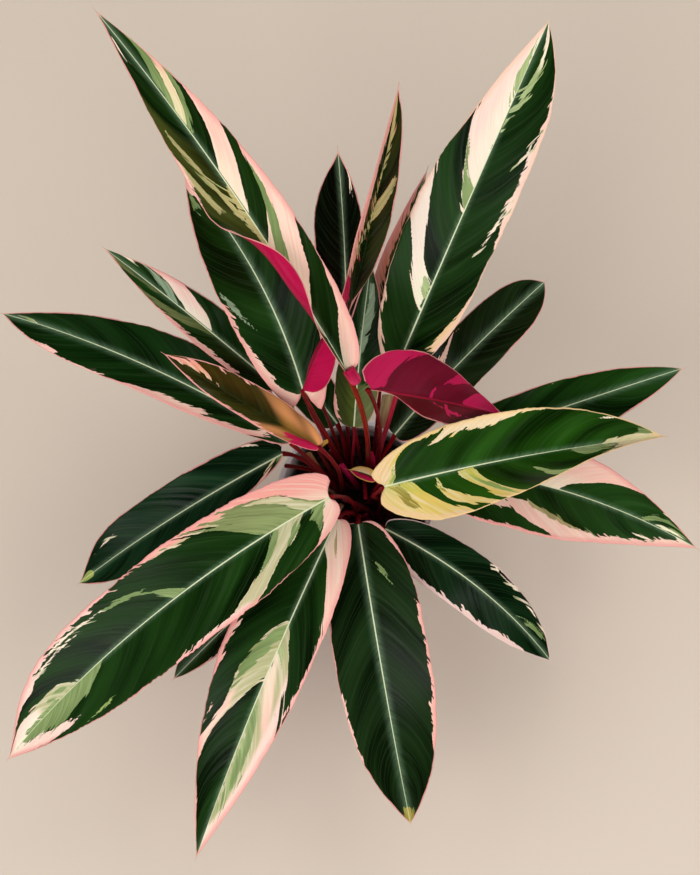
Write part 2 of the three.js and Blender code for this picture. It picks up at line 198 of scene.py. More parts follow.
class Tone(Enum):
    """A sector's layer, its colour beside the midrib and its colour at the margin."""

    PINK = (Layer.WASH, "#f3dcc0", "#f6c4b2")
    BLUSH = (Layer.WASH, "#f7e8d2", "#fbd6c8")
    ROSE = (Layer.WASH, "#ecc0a8", "#f0a094")
    SALMON = (Layer.WASH, "#dba27c", "#e58d74")
    CREAM = (Layer.WASH, "#ddd3a0", "#e8d0a4")
    PEAR = (Layer.WASH, "#b2b282", "#bcb688")
    IVORY = (Layer.WASH, "#f2eed0", "#f7e6d6")
    YELLOW = (Layer.WASH, "#c6c04e", "#e0c464")
    BUFF = (Layer.WASH, "#d8be7a", "#eac48c")
    SAGE = (Layer.STREAK, "#869b62", "#748a53")
    FAWN = (Layer.STREAK, "#86945f", "#808c5a")
    FERN = (Layer.STREAK, "#a6b780", "#97aa6c")
    MUSTARD = (Layer.STREAK, "#aba050", "#9a8c3e")
    MIST = (Layer.STREAK, "#8ba386", "#8c9f80")
    MOSS = (Layer.STREAK, "#5f6a3e", "#6c7546")
    LICHEN = (Layer.STREAK, "#4e5a20", "#39431a")
    LIME = (Layer.STREAK, "#a9b862", "#8fa55a")
    STRAW = (Layer.STREAK, "#b9ac72", "#a89c6a")
    CHALK = (Layer.STREAK, "#efe9c4", "#f2dfc6")
    PETAL = (Layer.STREAK, "#f5d4c0", "#f8c6b8")
    CRIMSON = (Layer.STREAK, "#a80f3c", "#c4184c")
    OLIVE = (Layer.GROUND, "#34370f", "#3c3d17")
    KHAKI = (Layer.GROUND, "#2c3008", "#353a10")
    BRONZE = (Layer.GROUND, "#2c2003", "#3a2b04")
    BOTTLE = (Layer.GROUND, "#0e1400", "#1b1e02")
    TAN = (Layer.GROUND, "#74501c", "#a86e42")

    def __call__(self, blade: int, *corners: Pair, firm: float = 2.0) -> "Sector":
        """Makes a sector of this tone on the blade of this number."""
        return Sector(blade, self, corners, firm)


@dataclass(frozen=True)
class Sector:
    """A coloured sector of one half of a blade, outlined by its corners.

    A corner is (t, across) in per cent: t from 0 at the base to 100 at the tip, across from -100
    at the right margin to 100 at the left one. The firmer a sector is, the smoother its edge.
    """

    blade: int
    tone: Tone
    corners: tuple[Pair, ...]
    firm: float


@dataclass(frozen=True)
class OutlineForm:
    """Where a blade is widest, how full its base is, and how full and how blunt its tip is."""

    widest: float
    base: float
    full: float
    blunt: float

    def share(self, t: Array) -> Array:
        """Half width at t as a share of the widest.

        Before the widest place it is one less the cube of what is left, raised to base. Beyond
        it, one less the distance to the power full, raised to blunt.

        Args:
            t: From 0 at the base to 1 at the tip.

        Returns:
            The share.
        """
        before = (1 - np.clip(1 - t / self.widest, 0, 1) ** 3) ** self.base
        beyond = np.clip((t - self.widest) / (1 - self.widest), 0, 1)
        return np.where(t < self.widest, before, (1 - beyond**self.full) ** self.blunt)


class Outline(Enum):
    """The outlines of the plant's half blades."""

    BROAD = OutlineForm(0.48, 0.28, 4.0, 1.4)
    OVATE = OutlineForm(0.44, 0.5, 2.4, 1.0)
    LANCE = OutlineForm(0.4, 0.45, 1.7, 1.05)
    BLUNT = OutlineForm(0.5, 0.4, 5.0, 0.8)
    FULL = OutlineForm(0.45, 0.35, 4.5, 1.1)
    ROUND = OutlineForm(0.4, 0.36, 1.7, 1.05)
    PADDLE = OutlineForm(0.62, 0.8, 2.6, 1.0)
    HEART = OutlineForm(0.28, 0.42, 1.5, 1.0)
    LATE = OutlineForm(0.56, 4.0, 3.0, 1.0)


# ---- blades ----


@dataclass(frozen=True)
class Blade:
    """One leaf blade. Pairs are (left, right) of the midrib or (base, tip). Angles in degrees.

    Fold is how far a half stands up from flat, curl how much further it turns by its margin, and
    roll turns the whole blade over. The petiole ends a gap and a setback away from the base. It
    comes up to it leaning by its reach, or with a knee straight from its foot.
    """

    name: str
    shoot: str
    base: Point
    tip: Point
    half: Pair
    outline: tuple[Outline, Outline] = (Outline.OVATE, Outline.OVATE)
    lift: float = 10
    bow: float = 0
    roll: Pair = (0, 0)
    fold_left: Pair = (10, 10)
    fold_right: Pair = (10, 10)
    curl: Pair = (0, 0)
    turn: Pair = (0, 1)
    tuck: Pair = (-1, 0)
    stand: Pair = (0, 0)
    heel: Pair = (4, 4)
    ripple: float = 1.2
    waves: float = 2.5
    knee: bool = False
    gap: float = 0.75
    setback: float = 0
    reach: float = 0.55
    sway: Pair = (0, 0)
    thick: float = 1.0
    ground: str = "#102c07"
    blush: str = "#eea29a"
    feather: float = 5.0
    rim: float = 0.6
    sweep: float = 0.2
    pleat: float = 0.05
    ragged: float = 0.005

    MARGIN_WAVES = (2.3, 5.1, 11.7)
    TORN_WAVES = (0.83, 1.3, 3.7)
    UNEVEN = 0.006
    POINT_LENGTH = 4.2
    POINT_TAPER = 22
    POINT_HALF = 1.5
    HEEL_REACH = 0.22
    VEIN_BEND = 1.35
    LEAST_CURL = 1e-4

    @property
    def length(self) -> float:
        """Straight length from base to tip."""
        return math.dist(self.base, self.tip)

    def midrib(self, t: Array) -> Array:
        """Points of the midrib: the chord, lifted and bowed by four t times one less t.

        Args:
            t: From 0 at the base to 1 at the tip.

        Returns:
            Points, in millimetres.
        """
        base = np.array(self.base, float)
        chord = np.array(self.tip, float) - base
        level = unit(np.array([-chord[1], chord[0], 0.0]))
        up = unit(np.cross(chord, level))
        arch = (4 * t * (1 - t))[..., None]
        return base + t[..., None] * chord + arch * (self.lift * up + self.bow * level)

    def directions(self, t: Array) -> tuple[Array, Array, Array]:
        """Directions along the midrib, to its left and up, the last two turned by the roll.

        Args:
            t: From 0 at the base to 1 at the tip.

        Returns:
            The three directions.
        """
        step = 1e-3
        along = unit(self.midrib(t + step) - self.midrib(t - step))
        level = unit(np.stack([-along[..., 1], along[..., 0], 0 * along[..., 0]], -1))
        up = np.cross(along, level)
        angle = np.radians(self.roll[0] + (self.roll[1] - self.roll[0]) * smooth(t))[..., None]
        left = level * np.cos(angle) + up * np.sin(angle)
        return along, left, up * np.cos(angle) - level * np.sin(angle)

    def half_share(self, t: Array, side: int) -> Array:
        """Half width of one side at t, as a share of its widest.

        The outline's own share is made a little uneven by three waves along the margin and
        ragged by three short ones, and runs out in a slender point past the tip.

        Args:
            t: From 0 at the base to 1 at the tip.
            side: 0 for the left half and 1 for the right one.

        Returns:
            The share.
        """
        share = self.outline[side].value.share(np.clip(t, 0, 1))
        mm = t * self.length
        short, middle, long = self.MARGIN_WAVES
        uneven = np.sin(mm / middle + 3 * side + self.half[0]) + 0.7 * np.sin(mm / short + self.half[1])
        uneven = uneven + 1.2 * np.sin(mm / long + 2 * side + self.length)
        short, middle, long = self.TORN_WAVES
        torn = np.sin(mm / middle + side) * np.sin(mm / long + self.half[1]) + 0.6 * np.sin(mm / short)
        left = (1 + self.POINT_LENGTH / self.length - t) * self.length
        point = np.clip(left / self.POINT_TAPER, 0, 1) ** 1.3
        slender = self.POINT_HALF * point * smooth((t - 0.8) / 0.15) / self.half[side]
        return np.maximum(share * (1 + self.UNEVEN * uneven + self.ragged * torn), slender)

    def half_width(self, t: Array, side: int) -> Array:
        """Half width of one side at t."""
        return self.half[side] * self.half_share(t, side)

    def surface(self, t: Array, across: Array) -> Array:
        """Points of the middle surface.

        Each half leaves the midrib at its fold angle and curls on its way out: a point s of the
        way lies (sin(fold + curl s) - sin fold) / curl out and (cos fold - cos(fold + curl s)) /
        curl up, times the half width. Towards the base the curl fades out over the tuck and the
        half stands up by its stand instead. A wave along the margin and a heel that draws the
        basal lobes back are added.

        Args:
            t: From 0 at the base to 1 at the tip.
            across: From -1 at the right margin to 1 at the left one.

        Returns:
            Points, in millimetres.
        """
        along, left, up = self.directions(t)
        spine = self.midrib(t)
        s = np.abs(across)
        opened = smooth((t - self.turn[0]) / (self.turn[1] - self.turn[0]))
        tucked = smooth((t - self.tuck[0]) / (self.tuck[1] - self.tuck[0]))
        halves = []
        for side, folds in enumerate((self.fold_left, self.fold_right)):
            standing = self.stand[side] * (1 - tucked)
            fold = np.radians(folds[0] + (folds[1] - folds[0]) * opened + standing)
            curl = np.radians(self.curl[side] * (1 - opened) * tucked) + self.LEAST_CURL
            share = self.half_share(t, side)
            width = self.half[side] * share
            out = (np.sin(fold + curl * s) - np.sin(fold)) / curl
            rise = (np.cos(fold) - np.cos(fold + curl * s)) / curl
            wave = self.ripple * share * s**2 * np.sin(2 * np.pi * (self.waves * t + side / 3))
            heel = self.heel[side] * s**2 * np.maximum(0, 1 - t / self.HEEL_REACH) ** 2
            back = heel * np.minimum(1, 3 * share)
            sign = 1 if side == 0 else -1
            halves.append(
                spine
                + left * (sign * width * out)[..., None]
                + up * (width * rise + wave)[..., None]
                - along * back[..., None]
            )
        return np.where((across >= 0)[..., None], halves[0], halves[1])

    def vein_place(self, t: Array, across: Array) -> tuple[Array, Array]:
        """Where a point lies among the lateral veins.

        A vein leaves the midrib at v and reaches v plus the sweep times s, raised to 1.35, at s
        of the way out.

        Args:
            t: From 0 at the base to 1 at the tip.
            across: From -1 at the right margin to 1 at the left one.

        Returns:
            Distance across the veins, v times the length, and along them, s times the greatest
            half width, in millimetres.
        """
        s = np.abs(across)
        span = np.where(across >= 0, self.half[0], self.half[1])
        return (t - self.sweep * np.minimum(s, 1) ** self.VEIN_BEND) * self.length, s * span


def past(place: Array, limits: Pair, value: Array, beyond: Pair) -> Array:
    """Takes the value, or what lies beyond where the place is under or over its limits."""
    return np.where(place < limits[0], beyond[0], np.where(place > limits[1], beyond[1], value))


class Markings:
    """The fields and colours of one blade's sectors, worked out at its vertices.

    A field is a distance in millimetres to the nearest sector's edge, positive inside. It counts
    a distance along the veins for less than one across them, so that the same roughness gives
    long teeth along the veins and short ones across.
    """

    ALONG_VEINS = 0.16
    FAR = -30.0
    NEAR_ENDS = (0.005, 0.985)
    PAST_ENDS = (-0.08, 1.1)
    NEAR_SIDES = (0.03, 0.965)
    PAST_SIDES = (-0.15, 1.2)
    TONES_FROM = 0.1
    TONES_OVER = 0.5
    GROUND_BLEND = 8
    TONE_BLEND = 1.6
    TONE_REACH = 1.4
    UNSEEN = "#f3dcc0"

    def __init__(self, blade: Blade, t: Array, across: Array, sectors: tuple[Sector, ...]) -> None:
        """Works out all layers.

        Args:
            blade: The blade that is marked.
            t: Place along the blade of each vertex.
            across: Place across it.
            sectors: Its sectors, in the order in which they are laid on.
        """
        self.blade = blade
        self.s = np.abs(across)
        self.side = np.where(across >= 0, 1.0, -1.0)
        place = blade.vein_place(t, across)
        self.place = np.stack([place[0], place[1] * self.ALONG_VEINS], -1)
        count = len(t)
        self.fields = {Layer.WASH: np.full(count, self.FAR), Layer.STREAK: np.full(count, self.FAR)}
        ground = np.tile(linear(blade.ground), (count, 1))
        self.colours = {Layer.GROUND: ground}
        for sector in sectors:
            self.lay(sector)
        for layer in (Layer.WASH, Layer.STREAK):
            self.colours.setdefault(layer, np.tile(linear(self.UNSEEN), (count, 1)))

    def inside(self, sector: Sector) -> Array:
        """Signed distance of each vertex to a sector's edge, positive inside.

        Corners at the midrib, the margin or an end are moved past it, so the edge of the blade
        never edges a sector. The distance is the least over the edges, and the sign is that of
        the number of edges crossed by a ray.

        Args:
            sector: The sector.

        Returns:
            The distance for each vertex, in millimetres, times how firm the sector is.
        """
        corners = np.array(sector.corners) / 100
        side = 1.0 if corners[:, 1].mean() >= 0 else -1.0
        t, s = corners[:, 0], np.abs(corners[:, 1])
        t = past(t, self.NEAR_ENDS, t, self.PAST_ENDS)
        x, y = self.blade.vein_place(t, side * s)
        span = self.blade.half[0 if side > 0 else 1]
        y = past(s, self.NEAR_SIDES, y, [edge * span for edge in self.PAST_SIDES])
        start = np.stack([x, y * self.ALONG_VEINS], -1)
        end = np.roll(start, -1, axis=0)
        edge = end - start
        offset = self.place[:, None, :] - start[None]
        length2 = np.maximum((edge**2).sum(-1), 1e-9)
        u = np.clip((offset * edge).sum(-1) / length2, 0, 1)
        distance = np.linalg.norm(offset - u[..., None] * edge, axis=-1).min(1)
        above = start[None, :, 1] > self.place[:, None, 1]
        crossing = above != (end[None, :, 1] > self.place[:, None, 1])
        rise = np.where(np.abs(edge[:, 1]) < 1e-9, 1e-9, edge[:, 1])
        reach = start[None, :, 0] + edge[:, 0] * offset[..., 1] / rise
        odd = (crossing & (self.place[:, None, 0] < reach)).sum(1) % 2 == 1
        signed = sector.firm * np.where(odd, distance, -distance)
        return np.where(self.side == side, signed, self.FAR)

    def lay(self, sector: Sector) -> None:
        """Lays one sector on the layers.

        Args:
            sector: The sector. A ground eases into the one before, a wash cuts the streaks under
                it, and a streak lies over all.
        """
        layer, inner, outer = sector.tone.value
        field = self.inside(sector)
        shade = smooth((self.s - self.TONES_FROM) / self.TONES_OVER)[:, None]
        tone = np.array(linear(inner)) * (1 - shade) + np.array(linear(outer)) * shade
        if layer is Layer.GROUND:
            mix = smooth(field / self.GROUND_BLEND + 0.5)[:, None]
            self.colours[layer] = self.colours[layer] * (1 - mix) + tone * mix
            return
        before = self.colours.get(layer, tone)
        mix = smooth((field + self.TONE_REACH) / self.TONE_BLEND)[:, None]
        self.colours[layer] = before * (1 - mix) + tone * mix
        self.fields[layer] = np.maximum(self.fields[layer], field)
        if layer is Layer.WASH:
            self.fields[Layer.STREAK] = np.minimum(self.fields[Layer.STREAK], -field)


class LeafMesh:
    """Builds the fine mesh of a blade: two faces with pleats, a midrib and a thin edge."""

    ROW = 2.0
    COLUMN = 1.5
    LEAST = (14, 5)
    CROWD_ENDS = 0.25
    CROWD_MIDRIB = 1.15
    MIDDLE = 0.30
    EDGE = 0.16
    PLEAT_WIDTH = 8.5
    PLEAT_DRIFTS = (19, 27)
    RIB = 1.1
    RIB_WIDTH = 1.1
    RIB_TAPER = 0.75
    GROOVE = 0.3
    SLENDER = 8
    END = 0.0015
    POINT = 4.0
    UNLINED = 2.0
    SEEDS = (7.3, 3.1)

    def __init__(self, blade: Blade, number: int) -> None:
        """Lays out the grid.

        Args:
            blade: The blade to build.
            number: Its place in the list, which seeds its texture.
        """
        self.blade = blade
        self.number = number
        rows = max(self.LEAST[0], round(blade.length / self.ROW))
        columns = max(self.LEAST[1], round(max(blade.half) / self.COLUMN))
        x = np.linspace(0, 1, rows + 1)
        along = x + self.CROWD_ENDS * (1 - 2 * x - np.cos(np.pi * x))
        t = self.END + (1 + self.POINT / blade.length - 2 * self.END) * along
        y = np.linspace(1, -1, 2 * columns + 1)
        across = np.sign(y) * np.abs(y) ** self.CROWD_MIDRIB
        self.t, self.across = np.meshgrid(t, across, indexing="ij")

    def build(self, finishes: list[Material], sectors: tuple[Sector, ...]) -> Object:
        """Makes the leaf.

        The lift of both faces is a cosine across the veins, of uneven width and depth, fading at
        the midrib and the margin. A rounded ridge, the exponential of minus the squared distance
        from the midrib, stands out of the lower face, and a shallow groove runs in the upper one.
        A leaf whose glow is under 1 mm wide has a midrib as dark as its ground: no pale line.

        Args:
            finishes: Upper and lower finish.
            sectors: Coloured sectors of the blade.

        Returns:
            The leaf's object.
        """
        blade, t, across = self.blade, self.t, self.across
        s = np.abs(across)
        middle = blade.surface(t, across)
        along = np.gradient(middle, axis=0)
        rightward = np.gradient(middle, axis=1)
        normal = unit(np.cross(rightward, along) + 1e-12)
        width = np.where(across >= 0, blade.half_width(t, 0), blade.half_width(t, 1))
        across_veins, along_veins = blade.vein_place(t, across)
        from_midrib = s * width
        full = smooth(width / self.SLENDER)
        phase = 2 * np.pi * across_veins / self.PLEAT_WIDTH + self.number
        phase += 1.3 * np.sin(across_veins / self.PLEAT_DRIFTS[0] + 2 * self.number)
        depth = blade.pleat * (1 + 0.7 * np.sin(across_veins / self.PLEAT_DRIFTS[1] + self.number))
        pleat = depth * np.cos(phase) * 4 * s * (1 - s) * full
        ridge = self.RIB * np.exp(-((from_midrib / self.RIB_WIDTH) ** 2)) * (1 - self.RIB_TAPER * t) * full
        thickness = self.EDGE + (self.MIDDLE - self.EDGE) * (1 - s**2)
        upper = middle + normal * (pleat + thickness - self.GROOVE * ridge)[..., None]
        lower = middle + normal * (pleat - thickness - ridge)[..., None]
        top = np.arange(t.size).reshape(t.shape)
        bottom = top + t.size
        rim = np.stack([top, bottom])
        sides = (rim[:, :, 0].T[:, ::-1], rim[:, :, -1].T, rim[:, 0].T, rim[:, -1].T[:, ::-1])
        face_sets = [grid_quads(top), grid_quads(bottom)[:, ::-1]]
        face_sets += [grid_quads(strip) for strip in sides]
        faces = np.concatenate(face_sets)
        slots = np.ones(len(faces), int)
        slots[: len(face_sets[0])] = 0
        marks = Markings(blade, t.ravel(), across.ravel(), sectors)
        seed = np.full(t.size, self.SEEDS[0] * self.number) + np.where(across.ravel() >= 0, 0, self.SEEDS[1])
        veins = np.stack([across_veins.ravel(), along_veins.ravel(), seed], -1)
        unlined = self.UNLINED if blade.feather < 1 else 0.0
        edges = np.stack([from_midrib + unlined, (1 - s) * width - blade.rim, t], -1).reshape(-1, 3)
        wash, streak = marks.fields[Layer.WASH], marks.fields[Layer.STREAK]
        fields = np.stack([wash, streak, np.full(t.size, blade.feather)], -1)
        colours = {layer.value: np.tile(marks.colours[layer], (2, 1)) for layer in marks.colours}
        colours["blush"] = np.tile(linear(blade.blush), (2 * t.size, 1))
        return Piece(
            name=blade.name.replace("blade", "leaf"),
            node=blade.name,
            slot="leaf_underside" if abs(blade.roll[0]) > 90 else "leaf",
            vertices=np.concatenate([upper.reshape(-1, 3), lower.reshape(-1, 3)]),
            faces=faces,
            materials=finishes,
            face_materials=slots,
            vectors={
                "veins": np.tile(veins, (2, 1)),
                "edges": np.tile(edges, (2, 1)),
                "marks": np.tile(fields, (2, 1)),
            },
            colours=colours,
        ).build()


# ---- finishes ----

Socket = bpy.types.NodeSocket
Colour = tuple[float, float, float, float]
Ramp = tuple[tuple[float, object], Pair]


@dataclass(frozen=True)
class Grain:
    """A soft noise: its size across and along the veins in millimetres, and how fine it goes."""

    across: float
    along: float
    detail: float
    shift: float = 0.0
    rough: float = 0.55


class Nodes:
    """The nodes of one material, in the few kinds that the finishes share."""

    def __init__(self, name: str) -> None:
        """Makes an empty material.

        Args:
            name: Its name.
        """
        self.material = bpy.data.materials.new(name)
        self.material.use_nodes = True
        self.tree = self.material.node_tree
        self.tree.nodes.clear()

    def read(self, name: str, output: str = "Vector") -> Socket:
        """Reads an attribute of the mesh."""
        return add_node(self.tree, "Attribute", {"attribute_name": name}).outputs[output]

    def split(self, vector: Socket) -> tuple[Socket, ...]:
        """Splits a vector into its three numbers."""
        return tuple(add_node(self.tree, "SeparateXYZ", None, {0: vector}).outputs)

    def math(self, operation: str, *values: Socket | float) -> Socket:
        """Works out one sum, product or power."""
        return add_node(self.tree, "Math", {"operation": operation}, dict(enumerate(values))).outputs[0]

    def mix(
        self, share: Socket | float, under: Socket | Colour, over: Socket | Colour, blend: str = "MIX"
    ) -> Socket:
        """Lays one colour over another by a share, or multiplies them."""
        settings = {"data_type": "RGBA", "blend_type": blend}
        return add_node(self.tree, "Mix", settings, {0: share, 6: under, 7: over}).outputs[2]

    def shade(self, colour: Socket, level: Socket) -> Socket:
        """Multiplies a colour by a level."""
        return self.mix(1.0, colour, level, "MULTIPLY")

    def ramp(self, value: Socket, ramp: Ramp, eased: bool = True) -> Socket:
        """Takes a value from the first range of a ramp to its second.

        Args:
            value: The value.
            ramp: The two ranges.
            eased: With a smooth step, three x squared less two x cubed, or else straight.

        Returns:
            The new value, held within the second range.
        """
        (start, end), (low, high) = ramp
        settings = {"interpolation_type": "SMOOTHSTEP" if eased else "LINEAR"}
        inputs = {"Value": value, "From Min": start, "From Max": end, "To Min": low, "To Max": high}
        return add_node(self.tree, "MapRange", settings, inputs).outputs[0]

    def scaled(self, place: Socket, across: float, along: float, shift: float = 0.0) -> Socket:
        """Divides a place by a size across and along the veins, and shifts it."""
        inputs = {"Vector": place, "Location": (shift, 0, 0), "Scale": (1 / across, 1 / along, 1)}
        return add_node(self.tree, "Mapping", None, inputs).outputs[0]

    def texture(self, place: Socket, scale: float, detail: float, rough: float) -> Socket:
        """Adds a soft noise about one half."""
        inputs = {"Vector": place, "Scale": scale, "Detail": detail, "Roughness": rough}
        return add_node(self.tree, "TexNoise", None, inputs).outputs["Fac"]

    def noise(self, place: Socket, grain: Grain) -> Socket:
        """Adds a noise in a grain of its own."""
        scaled = self.scaled(place, grain.across, grain.along, grain.shift)
        return self.texture(scaled, 1.0, grain.detail, grain.rough)

    def lumps(self, scale: float, detail: float, rough: float = 0.5) -> Socket:
        """Adds a noise in object coordinates, with this many lumps a metre."""
        place = add_node(self.tree, "TexCoord").outputs["Object"]
        return self.texture(place, scale, detail, rough)

    def cells(self, place: Socket, feature: str, output: str) -> Socket:
        """Adds a pattern of cells of unit size."""
        inputs = {"Vector": place, "Scale": 1.0}
        return add_node(self.tree, "TexVoronoi", {"feature": feature}, inputs).outputs[output]

    def surface(
        self,
        colour: Socket | Colour,
        roughness: Socket | float,
        height: Socket | None = None,
        relief: Pair = (0, 0),
        extra: dict[str, float] | None = None,
    ) -> Material:
        """Ends the material with one surface.

        Args:
            colour: Its colour.
            roughness: Its roughness.
            height: Its relief, or nothing where it is flat.
            relief: How strong the relief is, and how deep in millimetres.
            extra: Other constants of the shader by socket.

        Returns:
            The material.
        """
        inputs = {"Base Color": colour, "Roughness": roughness, **(extra or {})}
        if height is not None:
            bump = {"Strength": relief[0], "Distance": relief[1] * MM, "Height": height}
            inputs["Normal"] = add_node(self.tree, "Bump", None, bump).outputs[0]
        shader = add_node(self.tree, "BsdfPrincipled", None, inputs)
        add_node(self.tree, "OutputMaterial", None, {"Surface": shader.outputs[0]})
        return self.material


@dataclass(frozen=True)
class LeafReading:
    """What a leaf's finish reads at each point of the blade, and the noises that it shares."""

    place: Socket
    from_midrib: Socket
    from_rim: Socket
    glow_width: Socket
    fibre: Socket
    cloud: Socket
    masks: list[Socket]


@dataclass(frozen=True)
class LeafFinish:
    """Living leaf: a waxy skin over soft tissue, so satin, with fine ribs that break the gloss.

    Sizes are millimetres. The ramps take a noise or a distance to a share, a level or a width.
    """

    name: str
    underside: bool = False
    feather: str = "#7fa37e"
    midrib: str = "#dfe5bc"
    red_midrib: str = "#8a0f2a"
    vein: str = "#47603c"
    milk: str = "#f7ead4"
    wine: str = "#540216"
    claret: str = "#6e0626"
    hot: str = "#b00a42"
    crimson: str = "#b4124a"
    roughness: float = 0.27
    gloss_spread: Pair = (-0.05, 0.1)
    ior: float = 1.33
    relief: Pair = (0.6, 0.5)
    fibre_relief: float = 0.1
    cell: Pair = (3.4, 30.0)
    step: float = 1.5
    vein_cell: Pair = (8.0, 160)
    glow_fall: float = 2.2
    layer_shift: float = 37.0
    fibres: Grain = Grain(0.9, 22, 2.0)
    clouds: Grain = Grain(30, 62, 1.2)
    swells: Grain = Grain(9, 80, 1.0)
    barbs: Grain = Grain(2.4, 12, 1.0, 9.0)
    milk_drifts: Grain = Grain(4.5, 34, 2.0, 21.0)
    mottles: Grain = Grain(3.0, 26, 2.0, 55.0)
    midrib_width: Ramp = ((0.0, 0.9), (0.62, 0.2))
    midrib_edge: Ramp = ((-0.22, 0.22), (0.95, 0.0))
    rim_edge: Ramp = ((-0.25, 0.25), (0.85, 0.0))
    mask_edge: Ramp = ((-0.08, 0.08), (0.0, 1.0))
    clouded: Ramp = ((0.3, 0.7), (0.3, 1.7))
    on_vein: Ramp = ((0.0, 0.07), (0.11, 0.0))
    glowing: Pair = (0.74, 0.0)
    barbed: Ramp = ((0.25, 0.75), (0.45, 1.1))
    pleated: Ramp = ((0.25, 0.75), (0.9, 1.06))
    ribbed: Ramp = ((0.25, 0.75), (0.82, 1.12))
    milky: Ramp = ((0.38, 0.72), (0.0, 0.45))
    rosy: Ramp = ((0.2, 4.5), (0.75, 0.0))
    mottled: Ramp = ((0.3, 0.7), (0.8, 1.18))

    def build(self) -> Material:
        """Makes the material.

        The wash and the streak show where their field is above zero. The field is shifted by a
        random step in each of many cells, long along the veins and narrow across them, so that
        an edge runs along a vein and then steps to the next one. A feathered glow and a pale
        line follow the midrib, and a thin rim follows the margin.

        Returns:
            The material.
        """
        nodes = Nodes(self.name)
        place = nodes.read("veins")
        from_midrib, from_rim, along = nodes.split(nodes.read("edges"))
        wash, streak, glow_width = nodes.split(nodes.read("marks"))
        fibre, cloud = nodes.noise(place, self.fibres), nodes.noise(place, self.clouds)
        masks = [
            self.mask(nodes, place, field, fibre, number * self.layer_shift)
            for number, field in enumerate((wash, streak))
        ]
        at = LeafReading(place, from_midrib, from_rim, glow_width, fibre, cloud, masks)
        body = self.lower_colour(nodes, at) if self.underside else self.upper_colour(nodes, at)
        beyond = nodes.math("SUBTRACT", from_midrib, nodes.ramp(along, self.midrib_width, eased=False))
        line = rgba(self.red_midrib if self.underside else self.midrib)
        lined = nodes.mix(nodes.ramp(beyond, self.midrib_edge), body, line)
        frayed = nodes.math("ADD", from_rim, nodes.math("MULTIPLY_ADD", cloud, 2.4, -1.2))
        rimmed = nodes.mix(nodes.ramp(frayed, self.rim_edge), lined, nodes.read("blush", "Color"))
        least, most = (self.roughness + spread for spread in self.gloss_spread)
        gloss = nodes.ramp(cloud, ((0.3, 0.7), (least, most)), eased=False)
        height = nodes.math("MULTIPLY_ADD", fibre, self.fibre_relief, nodes.noise(place, self.swells))
        return nodes.surface(rimmed, gloss, height, self.relief, {"IOR": self.ior})

    def mask(self, nodes: Nodes, place: Socket, field: Socket, fibre: Socket, shift: float) -> Socket:
        """Where a layer shows: its field, stepped from cell to cell and a little frayed, above zero.

        A cell's step is its chance to the fourth power with its sign kept, so most cells hardly
        step and an edge runs smooth between few deep notches.

        Args:
            nodes: The material's nodes.
            place: Place among the veins.
            field: Distance inside the layer's edge.
            fibre: Fine noise that is drawn out along the veins.
            shift: Moves the cells, so that no two layers share them.

        Returns:
            The layer's share.
        """
        cells = nodes.cells(nodes.scaled(place, *self.cell, shift), "F1", "Color")
        chance = nodes.math("MULTIPLY_ADD", nodes.split(cells)[0], 2.0, -1.0)
        rare = nodes.math("POWER", nodes.math("ABSOLUTE", chance), 3.0)
        stepped = nodes.math("MULTIPLY", nodes.math("MULTIPLY", chance, rare), self.step)
        fray = nodes.math("MULTIPLY_ADD", fibre, 0.5, -0.25)
        rough = nodes.math("ADD", field, nodes.math("ADD", stepped, fray))
        return nodes.ramp(rough, self.mask_edge)

    def upper_colour(self, nodes: Nodes, at: LeafReading) -> Socket:
        """Colour of the upper face before its midrib and rim.

        The ground is clouded and finely veined, and a barbed glow lies along its midrib. The
        wash over it is milky in drifts and flushed at the margin, and the streak is mottled.

        Args:
            nodes: The material's nodes.
            at: What it reads.

        Returns:
            The colour.
        """
        ground = nodes.shade(nodes.read("ground", "Color"), nodes.ramp(at.cloud, self.clouded, eased=False))
        gaps = nodes.cells(nodes.scaled(at.place, *self.vein_cell), "DISTANCE_TO_EDGE", "Distance")
        veined = nodes.mix(nodes.ramp(gaps, self.on_vein), ground, rgba(self.vein))
        near = nodes.ramp(at.from_midrib, ((0.0, at.glow_width), self.glowing), eased=False)
        barbs = nodes.ramp(nodes.noise(at.place, self.barbs), self.barbed)
        glow = nodes.math("MULTIPLY", nodes.math("POWER", near, self.glow_fall), barbs)
        coated = nodes.mix(glow, veined, rgba(self.feather))
        milky = nodes.ramp(nodes.noise(at.place, self.milk_drifts), self.milky)
        pale = nodes.mix(milky, nodes.read("wash", "Color"), rgba(self.milk))
        flushed = nodes.mix(nodes.ramp(at.from_rim, self.rosy), pale, nodes.read("blush", "Color"))
        mottle = nodes.ramp(nodes.noise(at.place, self.mottles), self.mottled)
        leafy = nodes.shade(nodes.read("streak", "Color"), mottle)
        pleats = nodes.ramp(at.fibre, self.pleated, eased=False)
        for mask, tone in zip(at.masks, (flushed, leafy)):
            coated = nodes.mix(mask, coated, nodes.shade(tone, pleats))
        return coated

    def lower_colour(self, nodes: Nodes, at: LeafReading) -> Socket:
        """Colour of the lower face: wine, hot pink under a wash, crimson under a streak.

        Args:
            nodes: The material's nodes.
            at: What it reads.

        Returns:
            The colour.
        """
        depth = nodes.ramp(at.cloud, ((0.3, 0.7), (0.0, 1.0)))
        body = nodes.mix(depth, rgba(self.wine), rgba(self.claret))
        for mask, tone in zip(at.masks, (self.hot, self.crimson)):
            body = nodes.mix(mask, body, rgba(tone))
        return nodes.shade(body, nodes.ramp(at.fibre, self.ribbed, eased=False))


